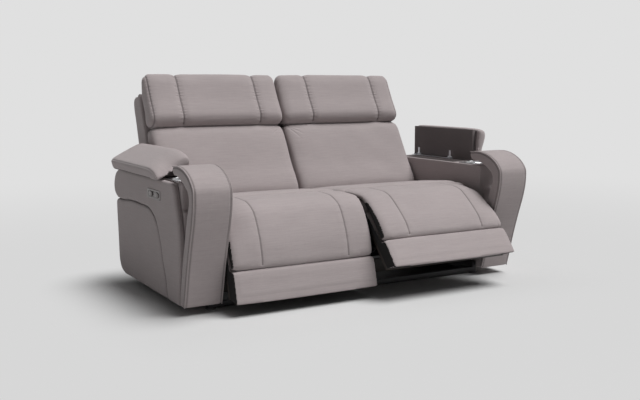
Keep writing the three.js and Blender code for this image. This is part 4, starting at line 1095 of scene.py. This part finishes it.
for side, hand in HAND.items():
    grid = swung(side, *lid_points(side))
    lid = grid_piece(f"lid_pad_{side}_soft", grid)
    evenly_meshed(lid, FINE_VOXEL, 3)
    puffed(lid, 2)
    finer(lid)
    stitched(lid, [(distance_to(lid, even_steps(grid[:, FOLD], 300)), *LID_FURROW)])
    uneven(lid, 1.2, 71 + hand)
    lay_threads(lid, (points_of(lid)[:, 0] - points_of(lid)[:, 2] * hand) / MM, 1)
    under = (swung(side, 0.0, 0.0, -1.0) - swung(side, 0.0, 0.0, 0.0)) / MM
    second_finish(lid, lambda x, y, z, n: (n @ under > 0.5) & (y > LID_FRONT + 30))
    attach(lid, f"lid_{side}")
    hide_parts(f"lid_pad_{side}")
    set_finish(lid, "upholstery")
    print("lid", side, "stands open by", LID_OPEN[side], "degrees")

# %% [markdown]
# The switch plate is a thin satin plate with a long shallow dish, and two flat keys lie in the dish. It
# is one grid again: round the back, over a small rounded edge, across the face and down into the dish.

# %% Switch plates
PLATE_MID, PLATE_HALF, PLATE_STAND = (453, 486), (86, 21.5), (893.3, 898.3)
DISH_HALF, DISH_DEEP = (70, 12.5), 2.2

back_x, face_x = PLATE_STAND
rows = [(PLATE_HALF, 0.0, 7, back_x), (PLATE_HALF, 0.0, 7, face_x - 1.2),
        (PLATE_HALF, 0.4, 7, face_x - 0.4), (PLATE_HALF, 1.2, 6, face_x),
        (DISH_HALF, -1.0, 12.5, face_x), (DISH_HALF, -0.2, 12.5, face_x - 0.4),
        (DISH_HALF, 0.4, 12, face_x - DISH_DEEP), (DISH_HALF, 3.0, 9, face_x - DISH_DEEP)]

for side, hand in HAND.items():
    rings = []
    for half, inset, radius, x in rows:
        across_half, up_half = half[0] - inset, half[1] - inset
        ring = rounded_box(across_half, up_half, min(radius, up_half - 0.1)) + PLATE_MID
        rings.append(to_frame(hand * x, *ring.T))
    plate = grid_piece(f"switch_surround_{side}", np.stack(rings))
    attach(plate, "body")
    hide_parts(f"switch_plate_{side}")
    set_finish(plate, slot_of(f"switch_plate_{side}"))
    print("switch plate", side, "stands out to", face_x, "mm")

# %% [markdown]
# Boards, brackets, links and feet keep the shape that the CAD gave them. Real edges are never razor
# sharp, so each is copied, its flat faces are joined up again, and its edges get a small bevel.

# %% Hard parts with broken edges


def edged(node, width):
    """A copy of a CAD part with merged points, joined flat faces and bevelled edges."""
    source = nodes[node]
    shell = bmesh.new()
    shell.from_mesh(source.data)
    bmesh.ops.remove_doubles(shell, verts=shell.verts, dist=1e-5)
    bmesh.ops.dissolve_limit(shell, angle_limit=math.radians(1), verts=shell.verts, edges=shell.edges)
    mesh = bpy.data.meshes.new(node + "_edged")
    shell.to_mesh(mesh)
    shell.free()
    piece = bpy.data.objects.new(node + "_edged", mesh)
    scene.collection.objects.link(piece)
    bevel = piece.modifiers.new("edges", "BEVEL")
    bevel.width, bevel.segments, bevel.limit_method = width * MM, 2, "ANGLE"
    bevel.angle_limit, bevel.use_clamp_overlap = math.radians(35), True
    applied(piece)
    piece.data.set_sharp_from_angle(angle=math.radians(40))
    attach(piece, source["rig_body"])
    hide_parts(node)
    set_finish(piece, slot_of(node))
    return piece


EDGES = {"timber": 1.5, "black_steel": 0.8, "zinc": 0.5, "lining": 1.0, "polished": 0.4, "plastic": 0.8}
left_over = [name for name in nodes if not nodes[name].hide_render]
hard = [edged(name, EDGES[slot_of(name)]) for name in sorted(left_over)]
print("hard parts:", len(hard))

# %% [markdown]
# ## Finishes
# Materials are built from small node trees, so one helper adds a node with its settings and feeds its
# sockets, and another starts a group with named sockets.

# %% Node helpers


def node(tree, kind, feeds=None, **settings):
    """A node of one kind. feeds gives a value or another node's output for each named socket."""
    made = tree.nodes.new("ShaderNode" + kind)
    for key, value in settings.items():
        setattr(made, key, value)
    for key, value in (feeds or {}).items():
        if isinstance(value, bpy.types.NodeSocket):
            tree.links.new(value, made.inputs[key])
        else:
            made.inputs[key].default_value = value
    return made


def math_of(tree, operation, *values):
    """A Math node's output for up to three values or sockets."""
    return node(tree, "Math", dict(enumerate(values)), operation=operation).outputs[0]


def group(name, inputs, outputs):
    """A node group with named sockets. inputs gives each one's type and default."""
    tree = bpy.data.node_groups.new(name, "ShaderNodeTree")
    for label, (kind, default) in inputs.items():
        socket = tree.interface.new_socket(label, in_out="INPUT", socket_type="NodeSocket" + kind)
        socket.default_value = default
    for label, kind in outputs.items():
        tree.interface.new_socket(label, in_out="OUTPUT", socket_type="NodeSocket" + kind)
    return tree, tree.nodes.new("NodeGroupInput").outputs, tree.nodes.new("NodeGroupOutput").inputs


def stretched_noise(tree, place, stretch, detail=2.0):
    """Noise whose grains are drawn out: the place is scaled by its own amount each way first."""
    scaled = node(tree, "VectorMath", {0: place, 1: stretch}, operation="MULTIPLY").outputs[0]
    return node(tree, "TexNoise", {"Vector": scaled, "Scale": 1.0, "Detail": detail}).outputs["Fac"]


# %% [markdown]
# The cover is a woven cloth with slubs: threads that are thicker here and there, which shows as faint
# streaks along the rows. An image of cloth could give them, but it would repeat, and a formula doesn't.
# The group adds two sizes of streak and a slow mottle to the colour, darkens the furrow of a seam with
# painted shade and the stitching's darker thread, and makes the weave's height from two crossed sine
# waves.

# %% Cloth group
# The seam input sets how much a seam's furrow is darkened: painted shade and the stitching's darker
# thread.
cloth, given, gives = group(
    "slubbed_cloth",
    {"Colour": ("Color", (0.37, 0.323, 0.323, 1)), "Streaks": ("Float", 0.22), "Mottle": ("Float", 0.12),
     "Thread": ("Float", 0.0016), "Seam": ("Float", 0.5)},
    {"Colour": "Color", "Roughness": "Float", "Height": "Float"})
threads = node(cloth, "Attribute", attribute_name="threads").outputs["Vector"]
furrow = node(cloth, "Attribute", attribute_name="seam").outputs["Fac"]
place = node(cloth, "TexCoord").outputs["Object"]
long_slub = stretched_noise(cloth, threads, (9, 210, 1))
short_slub = stretched_noise(cloth, threads, (45, 560, 1))
warp = stretched_noise(cloth, threads, (260, 12, 1))
patches = node(cloth, "TexNoise", {"Vector": place, "Scale": 4.0, "Detail": 3.0}).outputs["Fac"]
streak = math_of(cloth, "MULTIPLY_ADD", short_slub, 0.7, long_slub)
streak = math_of(cloth, "SUBTRACT", math_of(cloth, "MULTIPLY_ADD", warp, 0.35, streak), 1.025)
tone = math_of(cloth, "MULTIPLY_ADD", streak, given["Streaks"], 1.0)
tone = math_of(cloth, "MULTIPLY_ADD", math_of(cloth, "SUBTRACT", patches, 0.5), given["Mottle"], tone)
# Painted shade: the seam attribute darkens the colour in each furrow, partly for the shade in it and
# partly for the darker thread.
seam_shade_and_thread = math_of(cloth, "MULTIPLY", furrow, given["Seam"])
tone = math_of(cloth, "MULTIPLY", tone, math_of(cloth, "SUBTRACT", 1.0, seam_shade_and_thread))
coloured = node(cloth, "VectorMath", {0: given["Colour"], "Scale": tone}, operation="SCALE").outputs[0]
cloth.links.new(coloured, gives["Colour"])
cloth.links.new(math_of(cloth, "MULTIPLY_ADD", short_slub, 0.12, 0.84), gives["Roughness"])
apart = node(cloth, "SeparateXYZ", {0: threads}).outputs
turns = math_of(cloth, "DIVIDE", math.pi, given["Thread"])
waves = [math_of(cloth, "SINE", math_of(cloth, "MULTIPLY", apart[k], turns)) for k in (0, 1)]
weave = math_of(cloth, "MULTIPLY", *waves)
height = math_of(cloth, "MULTIPLY_ADD", weave, 0.35, long_slub)
cloth.links.new(math_of(cloth, "MULTIPLY_ADD", short_slub, 0.6, height), gives["Height"])
print("cloth group:", len(cloth.nodes), "nodes")

# %% [markdown]
# Hard finishes share one group too: slow cloudiness, fine grain and long scratches, all from object
# coordinates. Each finish sets how strongly they show.

# %% Worn surface group
worn, given, gives = group(
    "worn_surface",
    {"Colour": ("Color", (0.5, 0.5, 0.5, 1)), "Second": ("Color", (0.4, 0.4, 0.4, 1)),
     "Roughness": ("Float", 0.5), "Spread": ("Float", 0.1), "Stretch": ("Vector", (20, 20, 20)),
     "Grain": ("Float", 900.0)},
    {"Colour": "Color", "Roughness": "Float", "Height": "Float"})
place = node(worn, "TexCoord").outputs["Object"]
long_grain = stretched_noise(worn, place, given["Stretch"], 4.0)
fine = node(worn, "TexNoise", {"Vector": place, "Scale": given["Grain"], "Detail": 1.0}).outputs["Fac"]
cloud = node(worn, "TexNoise", {"Vector": place, "Scale": 11.0, "Detail": 3.0}).outputs["Fac"]
share = math_of(worn, "MULTIPLY_ADD", cloud, 0.5, math_of(worn, "MULTIPLY", long_grain, 0.6))
mixed = node(worn, "Mix", {"Factor": share, "A": given["Colour"], "B": given["Second"]},
             data_type="RGBA")
worn.links.new(mixed.outputs["Result"], gives["Colour"])
off_mean = math_of(worn, "SUBTRACT", long_grain, 0.5)
rough = math_of(worn, "MULTIPLY_ADD", off_mean, given["Spread"], given["Roughness"])
worn.links.new(rough, gives["Roughness"])
worn.links.new(math_of(worn, "MULTIPLY_ADD", fine, 0.4, long_grain), gives["Height"])
print("worn group:", len(worn.nodes), "nodes")

# %% [markdown]
# A finish puts one of the groups before a shader. Whatever is the same all over goes straight on the
# shader's own sockets.

# %% Finishes


def finish(name, effect, feeds, bump, **shader_values):
    """A material that feeds a group's colour, roughness and height to the shader. bump is the relief's
    strength and its depth in metres."""
    material = bpy.data.materials.new(name)
    material.use_nodes = True
    tree = material.node_tree
    shader = tree.nodes["Principled BSDF"]
    surface = tree.nodes.new("ShaderNodeGroup")
    surface.node_tree = effect
    for key, value in feeds.items():
        surface.inputs[key].default_value = value
    tree.links.new(surface.outputs["Colour"], shader.inputs["Base Color"])
    tree.links.new(surface.outputs["Roughness"], shader.inputs["Roughness"])
    strength, depth = bump
    relief = node(tree, "Bump", {"Height": surface.outputs["Height"], "Strength": strength,
                                 "Distance": depth})
    tree.links.new(relief.outputs["Normal"], shader.inputs["Normal"])
    for key, value in shader_values.items():
        shader.inputs[key.replace("_", " ")].default_value = value
    return material


finishes = {
    "upholstery": finish("slubbed_cover_cloth", cloth, {}, (0.45, 0.0006),
                         Sheen_Weight=0.2, Sheen_Roughness=0.5, Specular_IOR_Level=0.25),
    "lining": finish("dark_lining_cloth", cloth,
                     {"Colour": (0.16, 0.14, 0.14, 1), "Streaks": 0.3, "Thread": 0.0011}, (0.35, 0.0004),
                     Specular_IOR_Level=0.25),
    "timber": finish("stained_plywood", worn,
                     {"Colour": (0.034, 0.026, 0.021, 1), "Second": (0.02, 0.016, 0.014, 1),
                      "Roughness": 0.6, "Stretch": (9, 9, 210)}, (0.25, 0.0004)),
    "black_steel": finish("black_powder_coat", worn,
                          {"Colour": (0.011, 0.011, 0.012, 1), "Second": (0.019, 0.019, 0.02, 1),
                           "Roughness": 0.55}, (0.2, 0.0003)),
    "zinc": finish("zinc_plate", worn,
                   {"Colour": (0.62, 0.63, 0.65, 1), "Second": (0.48, 0.49, 0.52, 1), "Roughness": 0.32,
                    "Stretch": (300, 12, 300)}, (0.12, 0.0002), Metallic=1.0),
    "polished": finish("polished_steel", worn,
                       {"Colour": (0.5, 0.5, 0.51, 1), "Second": (0.4, 0.4, 0.41, 1), "Roughness": 0.24,
                        "Spread": 0.12, "Stretch": (14, 260, 260)}, (0.05, 0.0001), Metallic=1.0),
    "plastic": finish("grained_plastic", worn,
                      {"Colour": (0.035, 0.034, 0.034, 1), "Second": (0.05, 0.048, 0.047, 1),
                       "Roughness": 0.42}, (0.15, 0.0002)),
}
dust_cloth = finish("black_dust_cloth", cloth, {"Colour": (0.018, 0.017, 0.017, 1), "Thread": 0.001},
                    (0.3, 0.0004), Specular_IOR_Level=0.2)
satin = finish("satin_switch_metal", worn,
               {"Colour": (0.17, 0.157, 0.153, 1), "Second": (0.13, 0.12, 0.118, 1), "Roughness": 0.34,
                "Stretch": (260, 14, 260)}, (0.08, 0.0002), Metallic=1.0)
for piece in bpy.data.objects:
    if piece.type == "MESH" and "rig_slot" in piece:
        piece.data.materials.append(finishes[piece["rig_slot"]])
        if piece.name.startswith(("arm_box", "arm_band", "lid_pad")):
            piece.data.materials.append(finishes["lining"])
        if piece.name.startswith(("footrest_pad", "seat_cover")):
            piece.data.materials.append(dust_cloth)
        if piece.name.startswith(("switch_surround", "open_button", "close_button")):
            piece.data.materials[0] = satin
for name, cad in nodes.items():
    cad.data.materials.clear()
    cad.data.materials.append(finishes[slots[name]])
print("finishes:", ", ".join(finishes))

# %% [markdown]
# ## Room and light
# The studio is a pale floor that runs out into a pale background with no horizon. Near the sofa the
# floor is an ordinary matt surface that takes its shadow. Further away it turns, by distance, into the
# background's own colour, which only the camera and shiny parts see.

# %% Floor and background
BACKGROUND = (0.745, 0.745, 0.745, 1)
FLOOR_TONE = (0.68, 0.68, 0.68, 1)
FOOTPRINT, FOOT_MIDDLE = (0.92, 0.45, 1.0), (0.0, -0.12, 0.0)
FLOOR_SIDE, FLOOR_FRONT, FLOOR_REAR = 30.0, -9.0, 40.0
MATT_TO, PALE_FROM, PALE_TO = 0.45, 0.8, 5.0
AMBIENT = 0.17


def seen_only(tree):
    """1 for rays from the camera, from a shiny surface or through glass, and 0 for all other light."""
    path = node(tree, "LightPath").outputs
    seen = math_of(tree, "MAXIMUM", path["Is Camera Ray"], path["Is Glossy Ray"])
    return math_of(tree, "MAXIMUM", seen, path["Is Transmission Ray"])


corners = [[[x, y, 0] for x in (-FLOOR_SIDE, FLOOR_SIDE)] for y in (FLOOR_FRONT, FLOOR_REAR)]
floor = grid_piece("studio_floor", np.array(corners), caps=False, loop=False)
ground = bpy.data.materials.new("studio_ground")
ground.use_nodes = True
tree = ground.node_tree
matt = tree.nodes["Principled BSDF"]
matt.inputs["Base Color"].default_value = (0.6, 0.6, 0.6, 1)
matt.inputs["Roughness"].default_value = 0.95
matt.inputs["Specular IOR Level"].default_value = 0.1
glow = node(tree, "Emission", {"Strength": 1.0})
place = node(tree, "VectorMath", {0: node(tree, "TexCoord").outputs["Object"], 1: FOOT_MIDDLE},
             operation="SUBTRACT").outputs[0]
place = node(tree, "VectorMath", {0: place}, operation="ABSOLUTE").outputs[0]
place = node(tree, "VectorMath", {0: place, 1: FOOTPRINT}, operation="SUBTRACT").outputs[0]
place = node(tree, "VectorMath", {0: place, 1: (0, 0, 0)}, operation="MAXIMUM").outputs[0]
away = node(tree, "VectorMath", {0: place}, operation="LENGTH").outputs["Value"]
fade = node(tree, "MapRange", {"Value": away, "From Min": 0.0, "From Max": MATT_TO},
            interpolation_type="SMOOTHSTEP")
far = node(tree, "MapRange", {"Value": away, "From Min": PALE_FROM, "From Max": PALE_TO},
           interpolation_type="SMOOTHSTEP")
pale = node(tree, "Mix", {"Factor": far.outputs["Result"], "A": FLOOR_TONE, "B": BACKGROUND},
            data_type="RGBA")
tree.links.new(pale.outputs["Result"], glow.inputs["Color"])
share = math_of(tree, "MULTIPLY", fade.outputs["Result"], seen_only(tree))
blend = node(tree, "MixShader", {0: share, 1: matt.outputs[0], 2: glow.outputs[0]})
tree.links.new(blend.outputs[0], tree.nodes["Material Output"].inputs["Surface"])
floor.data.materials.append(ground)

world = bpy.data.worlds.new("studio")
scene.world = world
world.use_nodes = True
tree = world.node_tree
backdrop = tree.nodes["Background"]
backdrop.inputs["Color"].default_value = BACKGROUND
strength = math_of(tree, "MULTIPLY_ADD", seen_only(tree), 1 - AMBIENT, AMBIENT)
tree.links.new(strength, backdrop.inputs["Strength"])
print("floor:", 2 * FLOOR_SIDE, "m wide, fading from matt within", MATT_TO, "m of the sofa")

# %% [markdown]
# One large soft light stands high in front and to the right, as the photograph's shadows say. It is a
# sun lamp with a wide disc, because that lights the whole floor alike, which a lamp at a few metres
# would not.

# %% Lamp
KEY_FROM, KEY_STRENGTH, KEY_WIDE = (0.33, -0.26, 0.9), 3.35, 40

sun = bpy.data.lights.new("key", "SUN")
sun.energy, sun.angle = KEY_STRENGTH, math.radians(KEY_WIDE)
key = bpy.data.objects.new("key", sun)
scene.collection.objects.link(key)
key.rotation_euler = Vector(KEY_FROM).to_track_quat("Z", "Y").to_euler()
scene.view_settings.view_transform = "Standard"
print("light from", KEY_FROM)
